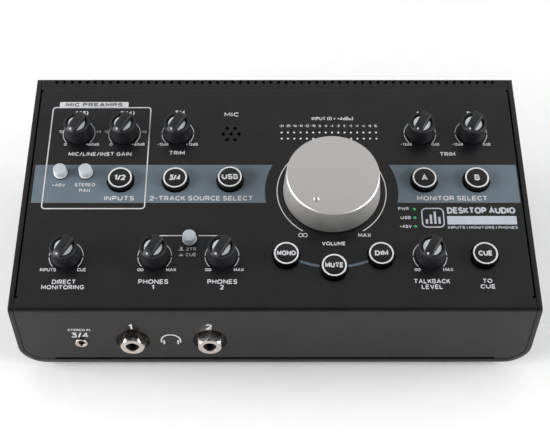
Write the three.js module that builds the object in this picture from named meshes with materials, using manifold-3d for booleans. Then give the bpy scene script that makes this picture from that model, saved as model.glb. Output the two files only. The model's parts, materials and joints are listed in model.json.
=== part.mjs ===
// Desktop audio interface: a wedge-shaped sheet-metal case with one big volume knob,
// nine small knobs, nine round buttons, three push caps, a light meter and its sockets.
// Millimetres, +Z up, front face towards -Y, origin under the feet in the middle of the base.

import * as THREE from 'three';
import { mergeVertices } from 'three/addons/utils/BufferGeometryUtils.js';
import Module from 'manifold-3d';

const wasm = await Module();
wasm.setup();

// ---------------------------------------------------------------------------------------
// Driving dimensions
// ---------------------------------------------------------------------------------------

const GAP = 0.3;              // clearance between neighbouring pieces
const OVERSHOOT = 5;          // how far a cutting tool runs past what it cuts
const WELD = 1e-4;            // points closer than this are one point

const CASE = { width: 290, depth: 154.5, frontHeight: 50.2, rearHeight: 78.5 };
const SLOPE = Math.atan2(CASE.rearHeight - CASE.frontHeight, CASE.depth);

const WRAP = { side: 2.75, floor: 3, cornerRadius: 15 };
const COVER = {
  sheet: 1.2, frontFold: 2.5, rearFold: 1.5, halfWidth: 141.95,
  frontBottom: 3.4, lipBottom: 66,
};
const SIDE_SLOT = { width: 0.75, from: 7.4, to: 148.2 };
const FRONT_SLOT = { halfLength: 125.6, top: 4.8 };
const REAR_PANEL = { sheet: 1.5, face: 152.7, halfWidth: 141.9, bottom: 3.3, top: 75.9 };
const FOOT = { radius: 8, height: 3, spigot: 2.5, spigotHole: 2.8, x: 118, front: 18, rear: 134 };
const BOARD = { top: -9.6, sheet: 1.6, halfWidth: 134, from: 10, to: 146 };

// Columns (x) and rows (distance up the slope from the front edge) of the top panel.
const COLUMN = {
  gain1: -116.2, gain2: -89.3, trim34: -57.6, mic: -26, monitorA: 86.1, monitorB: 116.4,
};
const ROW = { upper: 116.1, buttons: 82.9, caps: 88.1, lower: 33.2 };

const VOLUME = {
  at: [32.5, 75.8], bottom: 1, top: 18.2, bottomRadius: 27.9, topRadius: 26.5, chamfer: 1,
  wall: 3, roof: 4.7, hub: 6.5, shaft: 3, dimple: 1.65, dimpleOrbit: 19.4,
};
const SMALL_KNOB = {
  bottom: 1, skirt: 8.4, rim: 7.9, top: 11.6, lip: 0.8, recess: 1.8, shaft: 2,
  bladeWidth: 5, bladeTop: 14.1,
};
const POINTER_REST = THREE.MathUtils.degToRad(-30);   // every knob rests at its lowest mark
const SHAFT_END = -7.1;
const POT = { top: -3, half: 5.2, bushing: 3.5, bushingTop: 0.4, bore: 2.35 };
const VOLUME_POT = { top: -3, half: 8, bushing: 4.6, bushingTop: 0.4, bore: 3.35 };

const BUTTON = { radius: 7.1, top: 3.8, chamfer: 0.5, flange: 8.4, bottom: -3.6, flangeTop: -2.6 };
const PUSH_CAP = { radius: 3.7, top: 5.2, flange: 4.1, stem: 2.2, bottom: -4.6 };
const HOLE = { button: 8.1, knob: 3.9, volume: 5, cap: 4.5 };
const SWITCH_ARC = { radius: 50, spread: THREE.MathUtils.degToRad(31.8) };
const SWITCH_BODY = { half: 6, top: -5.4, capHalf: 4.5, capTop: -7.4 };

const VENT = { count: 58, pitch: 4.667, radius: 1.1, row: 154.2 };
const METER = { columns: 16, from: 4, pitch: 3.74, rows: [112.5, 116.9], hole: 0.75, pin: 0.42 };
const STATUS = { x: 79.3, rows: [52.5, 58.2, 63.9], hole: 1.2, pin: 0.85 };
const GRILLE = { spacing: 4.7, rowSpacing: 4.1, hole: 1.1, boot: 6.5 };
const LIGHT_GUIDE = { bottom: -4.2, top: -2.2, pinTop: -0.1, margin: 2 };

const PLUG_BORE = 3.3;        // radius that takes a 6.35 mm plug
const JACK = { bushing: 4.4, hole: 4.75, bushingFront: 3.3, half: 7, depth: 28 };
const PHONES = { x: [-79.6, -36.5], z: 21.7, dish: 9.6, dishFloor: 8.2, dishDepth: 2.2, pad: 3.4 };
const PHONE_NUT = { acrossFlats: 12.9, front: 4.7, lip: 3.6, lipBore: 3.5 };
const MINI_JACK = { x: -108.6, z: 20.3, barrel: 3, hole: 3.35, ring: 3.5, front: 1.2, bore: 1.8 };

const REAR_ROW = 40;          // height of the rear sockets' centre line
const LINE_JACKS = [-48, -28, 4, 24, 48, 68];
const LINE_NUT = { acrossFlats: 12.7, from: 0.3, to: 2.8, bushingFront: 3.4, hole: 5.8 };
const COMBO_JACKS = [-112, -80];
const COMBO = {
  body: 11.9, hole: 12.2, flangeWidth: 26, flangeHeight: 31, flange: 2, depth: 24,
  ringOuter: 10.2, ringInner: 7.4, ringDepth: 18,
};
const USB = { x: 92, half: [6, 5.45], mouth: [4.25, 3.9], depth: 16, mouthDepth: 9, front: 0.8 };
const DC = { x: 109, half: [4.7, 5.6], mouth: 3.3, depth: 14, mouthDepth: 10, front: 0.8 };
const POWER = {
  x: 127, flange: [6.5, 9.5], body: [5.6, 8.6], cavity: [4.6, 7.1], depth: 16, front: 1.6,
  rocker: [4.2, 6.4], pivot: 0.6, tilt: THREE.MathUtils.degToRad(10), floor: -5,
};

const BASE_HEIGHT = FOOT.height + GAP;
const FRONTMOST = -PHONE_NUT.front;
const REARMOST = REAR_PANEL.face + LINE_NUT.bushingFront;

// ---------------------------------------------------------------------------------------
// Materials
// ---------------------------------------------------------------------------------------

const finish = (color, roughness, metalness = 0) =>
  new THREE.MeshStandardMaterial({ color, roughness, metalness });

const FINISH = {
  casePaint: finish(0x313133, 0.6, 0.2),
  rearPaint: finish(0x2c2c2e, 0.6, 0.2),
  satinMetal: finish(0xb7b5b2, 0.35, 1),
  knobPlastic: finish(0x2b2b2e, 0.45),
  buttonPlastic: finish(0x1f2022, 0.3),
  capPlastic: finish(0xc8d0d6, 0.4),
  nickel: finish(0xcfc8c0, 0.25, 1),
  blackPlastic: finish(0x18181a, 0.5),
  boardGreen: finish(0x1d4a33, 0.6),
  potMetal: finish(0x9a9a98, 0.4, 0.8),
  lightGuide: finish(0xe8eef0, 0.3),
  statusGuide: finish(0x1fa060, 0.3),
  rubber: finish(0x151515, 0.9),
};

// ---------------------------------------------------------------------------------------
// Shape helpers
// ---------------------------------------------------------------------------------------

// Outline through corners [x, y, radius]; a corner with a radius becomes an arc.
function outline(corners, steps = 4) {
  const origin = new THREE.Vector2();
  const corner = (i) => {
    const [x, y] = corners[(i + corners.length) % corners.length];
    return new THREE.Vector2(x, y);
  };
  return corners.flatMap(([, , radius = 0], i) => {
    const tip = corner(i);
    if (radius === 0) return [tip];
    const back = corner(i - 1).sub(tip).normalize();
    const ahead = corner(i + 1).sub(tip).normalize();
    const half = Math.acos(back.dot(ahead)) / 2;
    const middle = back.clone().add(ahead).normalize();
    const centre = tip.clone().addScaledVector(middle, radius / Math.sin(half));
    const start = tip.clone().addScaledVector(back, radius / Math.tan(half)).sub(centre);
    const end = tip.clone().addScaledVector(ahead, radius / Math.tan(half)).sub(centre);
    const turn = Math.sign(start.cross(end)) * (Math.PI - 2 * half);
    return Array.from({ length: steps + 1 }, (_, k) =>
      start.clone().rotateAround(origin, (turn * k) / steps).add(centre));
  });
}

// Flat shape pulled along +Z from zero.
const extrude = (points, depth) =>
  new THREE.ExtrudeGeometry(new THREE.Shape(points), { depth, bevelEnabled: false, steps: 1 });

// Side profile [y, z] pulled along X, centred on x = 0.
function alongX(points, length) {
  const turn = new THREE.Matrix4().makeBasis(
    new THREE.Vector3(0, 1, 0), new THREE.Vector3(0, 0, 1), new THREE.Vector3(1, 0, 0));
  return extrude(points, length).applyMatrix4(turn).translate(-length / 2, 0, 0);
}

// Front profile [x, z] pulled along Y between two depths.
const alongY = (points, from, to) =>
  extrude(points, to - from).rotateX(Math.PI / 2).translate(0, to, 0);

// Round piece about Z from its profile [radius, z], listed bottom to top along its outside.
const turned = (profile, segments) =>
  new THREE.LatheGeometry(profile.map(([r, z]) => new THREE.Vector2(r, z)), segments)
    .rotateX(Math.PI / 2);

const drum = (radius, from, to, segments = 16) =>
  turned([[0, from], [radius, from], [radius, to], [0, to]], segments);

// Box from its half sizes in X and Y and its lowest and highest Z.
const block = (halfX, halfY, from, to) =>
  new THREE.BoxGeometry(2 * halfX, 2 * halfY, to - from).translate(0, 0, (from + to) / 2);

// Hexagonal prism about Z, with two points on the X axis.
function hexagon(acrossFlats, from, to) {
  const reach = acrossFlats / Math.sqrt(3);
  const points = Array.from({ length: 6 }, (_, k) =>
    new THREE.Vector2(reach * Math.cos((k * Math.PI) / 3), reach * Math.sin((k * Math.PI) / 3)));
  return extrude(points, to - from).translate(0, 0, from);
}

// A closed geometry as a solid that can be joined and cut.
function solid(geometry) {
  const bare = geometry.clone();
  bare.deleteAttribute('normal');
  bare.deleteAttribute('uv');
  const welded = mergeVertices(bare, WELD);
  const corners = Array.from(welded.index.array);
  const triVerts = [];
  for (let i = 0; i < corners.length; i += 3) {
    const [a, b, c] = corners.slice(i, i + 3);
    if (a !== b && b !== c && c !== a) triVerts.push(a, b, c);
  }
  return new wasm.Manifold(new wasm.Mesh({
    numProp: 3,
    vertProperties: new Float32Array(welded.attributes.position.array),
    triVerts: new Uint32Array(triVerts),
  }));
}

const join = (...geometries) => geometries.map(solid).reduce((whole, piece) => whole.add(piece));

const cut = (whole, ...geometries) =>
  geometries.map(solid).reduce((rest, tool) => rest.subtract(tool), whole);

// A solid as a geometry again.
function surface(piece) {
  const { vertProperties, triVerts } = piece.getMesh();
  const geometry = new THREE.BufferGeometry();
  geometry.setAttribute('position', new THREE.BufferAttribute(vertProperties, 3));
  geometry.setIndex(new THREE.BufferAttribute(triVerts, 1));
  geometry.computeVertexNormals();
  return geometry;
}

// ---------------------------------------------------------------------------------------
// Groups: each panel is a group whose +Z points straight out of it
// ---------------------------------------------------------------------------------------

const device = new THREE.Group();
device.position.set(0, -(FRONTMOST + REARMOST) / 2, BASE_HEIGHT);

const topPanel = new THREE.Group();
topPanel.position.z = CASE.frontHeight;
topPanel.rotation.x = SLOPE;

const frontPanel = new THREE.Group();
frontPanel.rotation.x = Math.PI / 2;

const rearFace = new THREE.Group();
rearFace.position.y = REAR_PANEL.face;
rearFace.rotation.set(Math.PI / 2, 0, Math.PI, 'ZYX');

device.add(topPanel, frontPanel, rearFace);

function add(group, name, shape, material, [x, y, z = 0] = [0, 0, 0]) {
  const geometry = shape instanceof THREE.BufferGeometry ? surface(solid(shape)) : surface(shape);
  const mesh = new THREE.Mesh(geometry, material);
  mesh.name = name;
  mesh.position.set(x, y, z);
  group.add(mesh);
  return mesh;
}

// A tool made in a panel's own axes, moved to where it cuts the case.
function onPanel(group, geometry, x, y) {
  group.updateMatrix();
  return geometry.translate(x, y, 0).applyMatrix4(group.matrix);
}

const onTop = (geometry, [u, v]) => onPanel(topPanel, geometry, u, v);
const onFront = (geometry, x, z) => onPanel(frontPanel, geometry, x, z);
const onRear = (geometry, x, z) => onPanel(rearFace, geometry, -x, z);

// ---------------------------------------------------------------------------------------
// Layout of the top panel's controls
// ---------------------------------------------------------------------------------------

const aroundVolume = (angle) => [
  VOLUME.at[0] + SWITCH_ARC.radius * Math.sin(angle),
  VOLUME.at[1] - SWITCH_ARC.radius * Math.cos(angle),
];

const SMALL_KNOBS = {
  gain_knob_1: [COLUMN.gain1, ROW.upper],
  gain_knob_2: [COLUMN.gain2, ROW.upper],
  trim_knob_34: [COLUMN.trim34, ROW.upper],
  trim_knob_a: [COLUMN.monitorA, ROW.upper],
  trim_knob_b: [COLUMN.monitorB, ROW.upper],
  direct_knob: [COLUMN.gain1, ROW.lower],
  phones_knob_1: [-67, ROW.lower],
  phones_knob_2: [-29.6, ROW.lower],
  talkback_knob: [COLUMN.monitorA, ROW.lower],
};

const BUTTONS = {
  button_12: [COLUMN.gain2, ROW.buttons],
  button_34: [COLUMN.trim34, ROW.buttons],
  button_usb: [COLUMN.mic, ROW.buttons, 0.9],
  button_a: [COLUMN.monitorA, ROW.buttons],
  button_b: [COLUMN.monitorB, ROW.buttons],
  button_mono: aroundVolume(-SWITCH_ARC.spread),
  button_mute: aroundVolume(0),
  button_dim: aroundVolume(SWITCH_ARC.spread),
  button_cue: [COLUMN.monitorB, ROW.lower],
};

const PUSH_CAPS = {
  phantom_cap: [-124.4, ROW.caps],
  stereo_pan_cap: [-109.7, ROW.caps],
  phones_source_cap: [-48, 44],
};

const MIC_AT = [COLUMN.mic, 115.8];

const ventHoles = Array.from({ length: VENT.count }, (_, i) =>
  [(i - (VENT.count - 1) / 2) * VENT.pitch, VENT.row]);

const meterDots = METER.rows.flatMap((v) =>
  Array.from({ length: METER.columns }, (_, i) => [METER.from + i * METER.pitch, v]));

const statusDots = STATUS.rows.map((v) => [STATUS.x, v]);

const grilleHoles = [
  ...[-1, 0, 1].map((i) => [MIC_AT[0] + i * GRILLE.spacing, MIC_AT[1]]),
  ...[-1, 1].flatMap((row) => [-0.5, 0.5].map((i) =>
    [MIC_AT[0] + i * GRILLE.spacing, MIC_AT[1] + row * GRILLE.rowSpacing])),
];

// ---------------------------------------------------------------------------------------
// Case
// ---------------------------------------------------------------------------------------

// Height of the surface that lies `inset` under the top panel, at depth y.
const topLine = (y, inset) =>
  CASE.frontHeight + y * Math.tan(SLOPE) - inset / Math.cos(SLOPE);

function baseWrap() {
  const halfWidth = CASE.width / 2;
  const inside = halfWidth - WRAP.side;
  const high = CASE.rearHeight + OVERSHOOT;
  const section = outline([
    [-halfWidth, high], [-halfWidth, 0, WRAP.cornerRadius],
    [halfWidth, 0, WRAP.cornerRadius], [halfWidth, high],
    [inside, high], [inside, WRAP.floor, WRAP.cornerRadius - WRAP.side],
    [-inside, WRAP.floor, WRAP.cornerRadius - WRAP.side], [-inside, high],
  ], 5);
  const side = outline([
    [0, 0], [CASE.depth, 0], [CASE.depth, CASE.rearHeight, COVER.rearFold],
    [0, CASE.frontHeight, COVER.frontFold],
  ]);
  const trough = solid(alongY(section, 0, CASE.depth));
  const trimmed = trough.intersect(solid(alongX(side, CASE.width + OVERSHOOT)));
  const footHoles = footPlaces().map(([x, y]) =>
    drum(FOOT.spigotHole, -OVERSHOOT, OVERSHOOT, 12).translate(x, y, 0));
  return cut(trimmed, ...footHoles);
}

// The space inside the wrap, as a front profile, less a gap all round.
function insideProfile() {
  const half = COVER.halfWidth;
  const radius = WRAP.cornerRadius - WRAP.side - GAP;
  const high = CASE.rearHeight + OVERSHOOT;
  return outline([
    [-half, COVER.frontBottom, radius], [half, COVER.frontBottom, radius],
    [half, high], [-half, high],
  ], 5);
}

function topCover() {
  const { sheet, frontFold, rearFold } = COVER;
  const backInside = CASE.depth - sheet;
  const profile = outline([
    [0, 0], [sheet, 0],
    [sheet, topLine(sheet, sheet), frontFold - sheet],
    [backInside, topLine(backInside, sheet), rearFold - sheet],
    [backInside, COVER.lipBottom], [CASE.depth, COVER.lipBottom],
    [CASE.depth, CASE.rearHeight, rearFold], [0, CASE.frontHeight, frontFold],
  ], 3);
  const pads = PHONES.x.map((x) =>
    onFront(drum(PHONES.dish + sheet, -PHONES.pad, -sheet / 2, 20), x, PHONES.z));
  const folded = join(alongX(profile, CASE.width), ...pads);
  const inside = alongY(insideProfile(), -OVERSHOOT, CASE.depth + OVERSHOOT);
  const trimmed = folded.intersect(solid(inside));

  const through = (radius, segments) => drum(radius, -OVERSHOOT, OVERSHOOT, segments);
  const vent = () => drum(VENT.radius, -COVER.sheet * 2, 1, 6).rotateZ(Math.PI / 6);
  const dish = () => turned([
    [0, -PHONES.dishDepth], [PHONES.dishFloor, -PHONES.dishDepth],
    [PHONES.dish, 0], [PHONES.dish, 1], [0, 1],
  ], 20);
  const holes = [
    ...Object.values(SMALL_KNOBS).map((at) => onTop(through(HOLE.knob, 12), at)),
    ...Object.values(BUTTONS).map((at) => onTop(through(HOLE.button, 16), at)),
    ...Object.values(PUSH_CAPS).map((at) => onTop(through(HOLE.cap, 16), at)),
    onTop(through(HOLE.volume, 16), VOLUME.at),
    ...ventHoles.map((at) => onTop(vent(), at)),
    ...meterDots.map((at) => onTop(through(METER.hole, 4), at)),
    ...statusDots.map((at) => onTop(through(STATUS.hole, 8), at)),
    ...grilleHoles.map((at) => onTop(through(GRILLE.hole, 6), at)),
    onFront(through(MINI_JACK.hole, 16), MINI_JACK.x, MINI_JACK.z),
    ...PHONES.x.map((x) => onFront(through(JACK.hole, 16), x, PHONES.z)),
    ...PHONES.x.map((x) => onFront(dish(), x, PHONES.z)),
  ];
  const slotMiddle = (SIDE_SLOT.from + SIDE_SLOT.to) / 2;
  const slotHalf = (SIDE_SLOT.to - SIDE_SLOT.from) / 2;
  const slots = [-1, 1].map((side) => onTop(
    block(SIDE_SLOT.width, slotHalf, -OVERSHOOT, OVERSHOOT),
    [side * COVER.halfWidth, slotMiddle]));
  const frontSlot = block(FRONT_SLOT.halfLength, OVERSHOOT, 0, FRONT_SLOT.top);
  return cut(trimmed, ...holes, ...slots, frontSlot);
}

function rearPanel() {
  const half = REAR_PANEL.halfWidth;
  const corner = WRAP.cornerRadius - WRAP.side - GAP;
  const shape = outline([
    [-half, REAR_PANEL.bottom, corner], [half, REAR_PANEL.bottom, corner],
    [half, REAR_PANEL.top], [-half, REAR_PANEL.top],
  ], 5);
  const sheet = solid(alongY(shape, REAR_PANEL.face - REAR_PANEL.sheet, REAR_PANEL.face));
  const deep = (radius, segments) => drum(radius, -OVERSHOOT, OVERSHOOT, segments);
  const square = ([halfX, halfY]) => block(halfX + GAP, halfY + GAP, -OVERSHOOT, OVERSHOOT);
  return cut(
    sheet,
    ...COMBO_JACKS.map((x) => onRear(deep(COMBO.hole, 24), x, REAR_ROW)),
    ...LINE_JACKS.map((x) => onRear(deep(LINE_NUT.hole, 20), x, REAR_ROW)),
    onRear(square(USB.half), USB.x, REAR_ROW),
    onRear(square(DC.half), DC.x, REAR_ROW),
    onRear(square(POWER.body), POWER.x, REAR_ROW),
  );
}

function footPlaces() {
  return [FOOT.front, FOOT.rear].flatMap((y) => [-FOOT.x, FOOT.x].map((x) => [x, y]));
}

const foot = () => turned([
  [0, -BASE_HEIGHT], [FOOT.radius - 0.8, -BASE_HEIGHT], [FOOT.radius, -BASE_HEIGHT + 1],
  [FOOT.radius, -GAP], [FOOT.spigot, -GAP], [FOOT.spigot, WRAP.floor + 1], [0, WRAP.floor + 1],
], 20);

add(device, 'base_wrap', baseWrap(), FINISH.casePaint);
add(device, 'top_cover', topCover(), FINISH.casePaint);
add(device, 'rear_panel', rearPanel(), FINISH.rearPaint);
footPlaces().forEach(([x, y], i) => add(device, `foot_${i + 1}`, foot(), FINISH.rubber, [x, y]));

// ---------------------------------------------------------------------------------------
// Knobs and their potentiometers
// ---------------------------------------------------------------------------------------

function volumeKnob() {
  const k = VOLUME;
  const roof = k.top - k.roof;
  const body = solid(turned([
    [0, SHAFT_END], [k.shaft, SHAFT_END], [k.shaft, k.bottom + 1], [k.hub, k.bottom + 1],
    [k.hub, roof], [k.topRadius - k.wall, roof], [k.bottomRadius - k.wall, k.bottom],
    [k.bottomRadius, k.bottom], [k.topRadius, k.top - k.chamfer],
    [k.topRadius - k.chamfer, k.top], [0, k.top],
  ], 32));
  const dimple = drum(k.dimple, k.top - 0.8, k.top + 1, 10).translate(0, -k.dimpleOrbit, 0);
  return cut(body, dimple);
}

function smallKnob() {
  const k = SMALL_KNOB;
  const cup = turned([
    [0, SHAFT_END], [k.shaft, SHAFT_END], [k.shaft, k.bottom], [k.skirt, k.bottom],
    [k.skirt, k.bottom + 0.6], [k.rim, k.top - 0.6], [k.rim - 0.4, k.top],
    [k.rim - k.lip, k.top], [k.rim - k.lip - 0.3, k.top - k.recess], [0, k.top - k.recess],
  ], 16);
  const blade = alongX([
    [-7.2, k.top - k.recess - 0.5], [7.2, k.top - k.recess - 0.5], [7.3, 12.9],
    [6.2, k.bladeTop], [-2, k.bladeTop], [-7, 12],
  ].map(([y, z]) => new THREE.Vector2(y, z)), k.bladeWidth);
  return join(cup, blade);
}

function potentiometer({ top, half, bushing, bushingTop, bore }) {
  const body = join(
    block(half, half, BOARD.top + GAP, top),
    drum(bushing, top - 1, bushingTop, 12),
  );
  return cut(body, drum(bore, SHAFT_END - GAP, bushingTop + 1, 12));
}

add(topPanel, 'volume_knob', volumeKnob(), FINISH.satinMetal, VOLUME.at).rotation.z = POINTER_REST;
add(topPanel, 'volume_pot', potentiometer(VOLUME_POT), FINISH.potMetal, VOLUME.at);

for (const [name, at] of Object.entries(SMALL_KNOBS)) {
  add(topPanel, name, smallKnob(), FINISH.knobPlastic, at).rotation.z = POINTER_REST;
  add(topPanel, name.replace('knob', 'pot'), potentiometer(POT), FINISH.potMetal, at);
}

// ---------------------------------------------------------------------------------------
// Buttons, push caps and the board that carries their switches
// ---------------------------------------------------------------------------------------

const roundButton = () => turned([
  [0, BUTTON.bottom], [BUTTON.flange, BUTTON.bottom], [BUTTON.flange, BUTTON.flangeTop],
  [BUTTON.radius, BUTTON.flangeTop], [BUTTON.radius, BUTTON.top - BUTTON.chamfer],
  [BUTTON.radius - BUTTON.chamfer, BUTTON.top], [0, BUTTON.top],
], 18);

const pushCap = () => turned([
  [0, PUSH_CAP.bottom], [PUSH_CAP.stem, PUSH_CAP.bottom], [PUSH_CAP.stem, 0.2],
  [PUSH_CAP.flange, 0.2], [PUSH_CAP.flange, 1.3], [PUSH_CAP.radius, 1.5],
  [PUSH_CAP.radius - 0.1, PUSH_CAP.top - 0.5], [PUSH_CAP.radius - 0.6, PUSH_CAP.top],
  [0, PUSH_CAP.top],
], 12);

function mainBoard() {
  const { top, sheet, halfWidth, from, to } = BOARD;
  const plate = block(halfWidth, (to - from) / 2, top - sheet, top)
    .translate(0, (from + to) / 2, 0);
  const standing = (half, height) => ([u, v]) =>
    block(half, half, top - 0.5, height).translate(u, v, 0);
  const switches = Object.values(BUTTONS).map(standing(SWITCH_BODY.half, SWITCH_BODY.top));
  const capSwitches = Object.values(PUSH_CAPS)
    .map(standing(SWITCH_BODY.capHalf, SWITCH_BODY.capTop));
  return join(plate, ...switches, ...capSwitches);
}

for (const [name, at] of Object.entries(BUTTONS)) {
  add(topPanel, name, roundButton(), FINISH.buttonPlastic, at);
}
for (const [name, at] of Object.entries(PUSH_CAPS)) {
  add(topPanel, name, pushCap(), FINISH.capPlastic, at);
}
add(topPanel, 'main_board', mainBoard(), FINISH.boardGreen);

// ---------------------------------------------------------------------------------------
// Light guides and microphone
// ---------------------------------------------------------------------------------------

// One clear bar under the panel with a pin standing in each hole.
function lightGuide(dots, pin, segments) {
  const { bottom, top, pinTop, margin } = LIGHT_GUIDE;
  const box = new THREE.Box2().setFromPoints(dots.map(([u, v]) => new THREE.Vector2(u, v)));
  const size = box.getSize(new THREE.Vector2());
  const middle = box.getCenter(new THREE.Vector2());
  const bar = block(size.x / 2 + margin, size.y / 2 + margin, bottom, top)
    .translate(middle.x, middle.y, 0);
  return join(bar, ...dots.map(([u, v]) => drum(pin, top - 1, pinTop, segments).translate(u, v, 0)));
}

add(topPanel, 'meter_light_guide', lightGuide(meterDots, METER.pin, 4), FINISH.lightGuide);
add(topPanel, 'status_light_guide', lightGuide(statusDots, STATUS.pin, 8), FINISH.statusGuide);

const microphone = turned([
  [0, BOARD.top + GAP], [GRILLE.boot - 1.5, BOARD.top + GAP], [GRILLE.boot - 1.5, -5],
  [GRILLE.boot, -5], [GRILLE.boot, -1.8], [GRILLE.boot - 0.8, -1.8], [GRILLE.boot - 0.8, -3],
  [0, -3],
], 16);
add(topPanel, 'talkback_mic', microphone, FINISH.rubber, MIC_AT);

// ---------------------------------------------------------------------------------------
// Front sockets
// ---------------------------------------------------------------------------------------

function phoneJack() {
  const back = -PHONES.pad - GAP;
  const body = join(
    block(JACK.half, JACK.half, back - JACK.depth + 4, back),
    drum(JACK.bushing, back - 1, JACK.bushingFront, 16),
  );
  return cut(body, drum(PLUG_BORE, back - JACK.depth + 6, JACK.bushingFront + 1, 16));
}

// The nut closes over the bushing's end, so its mouth is narrower than its thread.
function phoneNut() {
  return cut(
    solid(hexagon(PHONE_NUT.acrossFlats, -PHONES.dishDepth + GAP, PHONE_NUT.front)),
    drum(JACK.hole, -PHONES.dishDepth, PHONE_NUT.lip, 16),
    drum(PHONE_NUT.lipBore, PHONE_NUT.lip - 1, PHONE_NUT.front + 1, 16),
  );
}

PHONES.x.forEach((x, i) => {
  add(frontPanel, `phone_jack_${i + 1}`, phoneJack(), FINISH.blackPlastic, [x, PHONES.z]);
  const nut = add(frontPanel, `phone_nut_${i + 1}`, phoneNut(), FINISH.nickel, [x, PHONES.z]);
  nut.rotation.z = (i * Math.PI) / 6;
});

function miniJack() {
  const behind = -COVER.sheet - GAP;
  const body = join(
    block(4.5, 5, behind - 12, behind),
    drum(MINI_JACK.barrel, behind - 1, MINI_JACK.front, 16),
    drum(MINI_JACK.ring, GAP, MINI_JACK.front, 16),
  );
  return cut(body, drum(MINI_JACK.bore, behind - 11, MINI_JACK.front + 1, 12));
}

add(frontPanel, 'mini_jack', miniJack(), FINISH.nickel, [MINI_JACK.x, MINI_JACK.z]);

// ---------------------------------------------------------------------------------------
// Rear sockets and power switch
// ---------------------------------------------------------------------------------------

const behindRear = -REAR_PANEL.sheet - GAP;

function lineJack() {
  const body = join(
    block(JACK.half, JACK.half, behindRear - 24, behindRear),
    drum(JACK.bushing, behindRear - 1, LINE_NUT.bushingFront, 16),
    hexagon(LINE_NUT.acrossFlats, LINE_NUT.from, LINE_NUT.to),
  );
  return cut(body, drum(PLUG_BORE, behindRear - 22, LINE_NUT.bushingFront + 1, 16));
}

function comboJack() {
  const { body, flange, flangeWidth, flangeHeight, depth } = COMBO;
  const plate = extrude(outline([
    [-flangeWidth / 2, -flangeHeight / 2, 3], [flangeWidth / 2, -flangeHeight / 2, 3],
    [flangeWidth / 2, flangeHeight / 2, 3], [-flangeWidth / 2, flangeHeight / 2, 3],
  ]), flange).translate(0, 0, GAP);
  const shell = join(plate, drum(body, -depth, 1, 24));
  const ring = cut(solid(drum(COMBO.ringOuter, -COMBO.ringDepth, depth, 24)),
    drum(COMBO.ringInner, -depth, depth + 1, 24));
  return cut(shell.subtract(ring), drum(PLUG_BORE, 2 - depth, depth, 16));
}

function boxSocket({ half, depth, front }, mouth) {
  return cut(solid(block(half[0], half[1], -depth, front)), mouth);
}

const usbMouth = block(USB.mouth[0], USB.mouth[1], -USB.mouthDepth, USB.front + 1);
const dcMouth = drum(DC.mouth, -DC.mouthDepth, DC.front + 1, 16);

COMBO_JACKS.forEach((x, i) =>
  add(rearFace, `combo_jack_${i + 1}`, comboJack(), FINISH.blackPlastic, [-x, REAR_ROW]));
LINE_JACKS.forEach((x, i) =>
  add(rearFace, `line_jack_${i + 1}`, lineJack(), FINISH.blackPlastic, [-x, REAR_ROW]));
add(rearFace, 'usb_socket', boxSocket(USB, usbMouth), FINISH.nickel, [-USB.x, REAR_ROW]);
add(rearFace, 'dc_inlet', boxSocket(DC, dcMouth), FINISH.blackPlastic, [-DC.x, REAR_ROW]);

function switchHousing() {
  const { flange, body, cavity, depth, front, floor } = POWER;
  const shell = join(block(flange[0], flange[1], GAP, front), block(body[0], body[1], -depth, 1));
  return cut(shell, block(cavity[0], cavity[1], floor, front + 1));
}

// The rocker's side profile: two flats that meet in a shallow valley over the pivot.
function rocker() {
  const [halfWidth, reach] = POWER.rocker;
  const profile = [[-reach, -2.4], [reach, -2.4], [reach, 1.6], [0, 0.7], [-reach, 1.6]];
  return alongX(profile.map(([y, z]) => new THREE.Vector2(y, z)), 2 * halfWidth);
}

add(rearFace, 'power_switch_housing', switchHousing(), FINISH.blackPlastic, [-POWER.x, REAR_ROW]);
add(rearFace, 'power_rocker', rocker(), FINISH.blackPlastic, [-POWER.x, REAR_ROW, POWER.pivot])
  .rotation.x = POWER.tilt;

export default device;
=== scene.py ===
# %% [markdown]
# # A desktop audio interface
#
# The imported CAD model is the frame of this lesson. It says where every knob, button and socket
# is and how it moves. What follows gives each of those pieces the surface of the real thing.

# %% Load the frame
import json
import math

import bmesh
import bpy
import numpy as np
from mathutils import Matrix, Vector


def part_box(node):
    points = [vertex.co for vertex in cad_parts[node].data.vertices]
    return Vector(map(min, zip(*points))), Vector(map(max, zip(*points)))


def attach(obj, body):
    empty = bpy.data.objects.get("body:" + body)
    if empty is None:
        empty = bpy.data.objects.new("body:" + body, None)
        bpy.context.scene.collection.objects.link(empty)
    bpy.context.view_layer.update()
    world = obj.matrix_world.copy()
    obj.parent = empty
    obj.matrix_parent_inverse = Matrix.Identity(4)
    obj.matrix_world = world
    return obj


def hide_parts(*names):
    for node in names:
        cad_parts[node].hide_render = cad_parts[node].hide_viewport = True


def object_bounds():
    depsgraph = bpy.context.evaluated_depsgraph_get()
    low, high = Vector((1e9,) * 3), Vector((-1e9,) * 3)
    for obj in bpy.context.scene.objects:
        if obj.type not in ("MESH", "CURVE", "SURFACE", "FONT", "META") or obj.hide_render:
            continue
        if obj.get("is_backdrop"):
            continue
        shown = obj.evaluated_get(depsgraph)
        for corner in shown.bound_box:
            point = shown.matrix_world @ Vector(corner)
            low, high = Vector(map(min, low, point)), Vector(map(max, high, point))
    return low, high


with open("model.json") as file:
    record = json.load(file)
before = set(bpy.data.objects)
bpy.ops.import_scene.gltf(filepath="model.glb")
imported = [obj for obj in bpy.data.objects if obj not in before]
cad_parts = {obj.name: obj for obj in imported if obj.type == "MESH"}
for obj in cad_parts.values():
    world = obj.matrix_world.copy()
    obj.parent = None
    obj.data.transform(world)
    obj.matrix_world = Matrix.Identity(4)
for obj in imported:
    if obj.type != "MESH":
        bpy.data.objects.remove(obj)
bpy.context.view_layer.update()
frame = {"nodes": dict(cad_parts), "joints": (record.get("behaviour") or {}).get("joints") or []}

joints = {joint["name"]: joint for joint in frame["joints"]}

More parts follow.
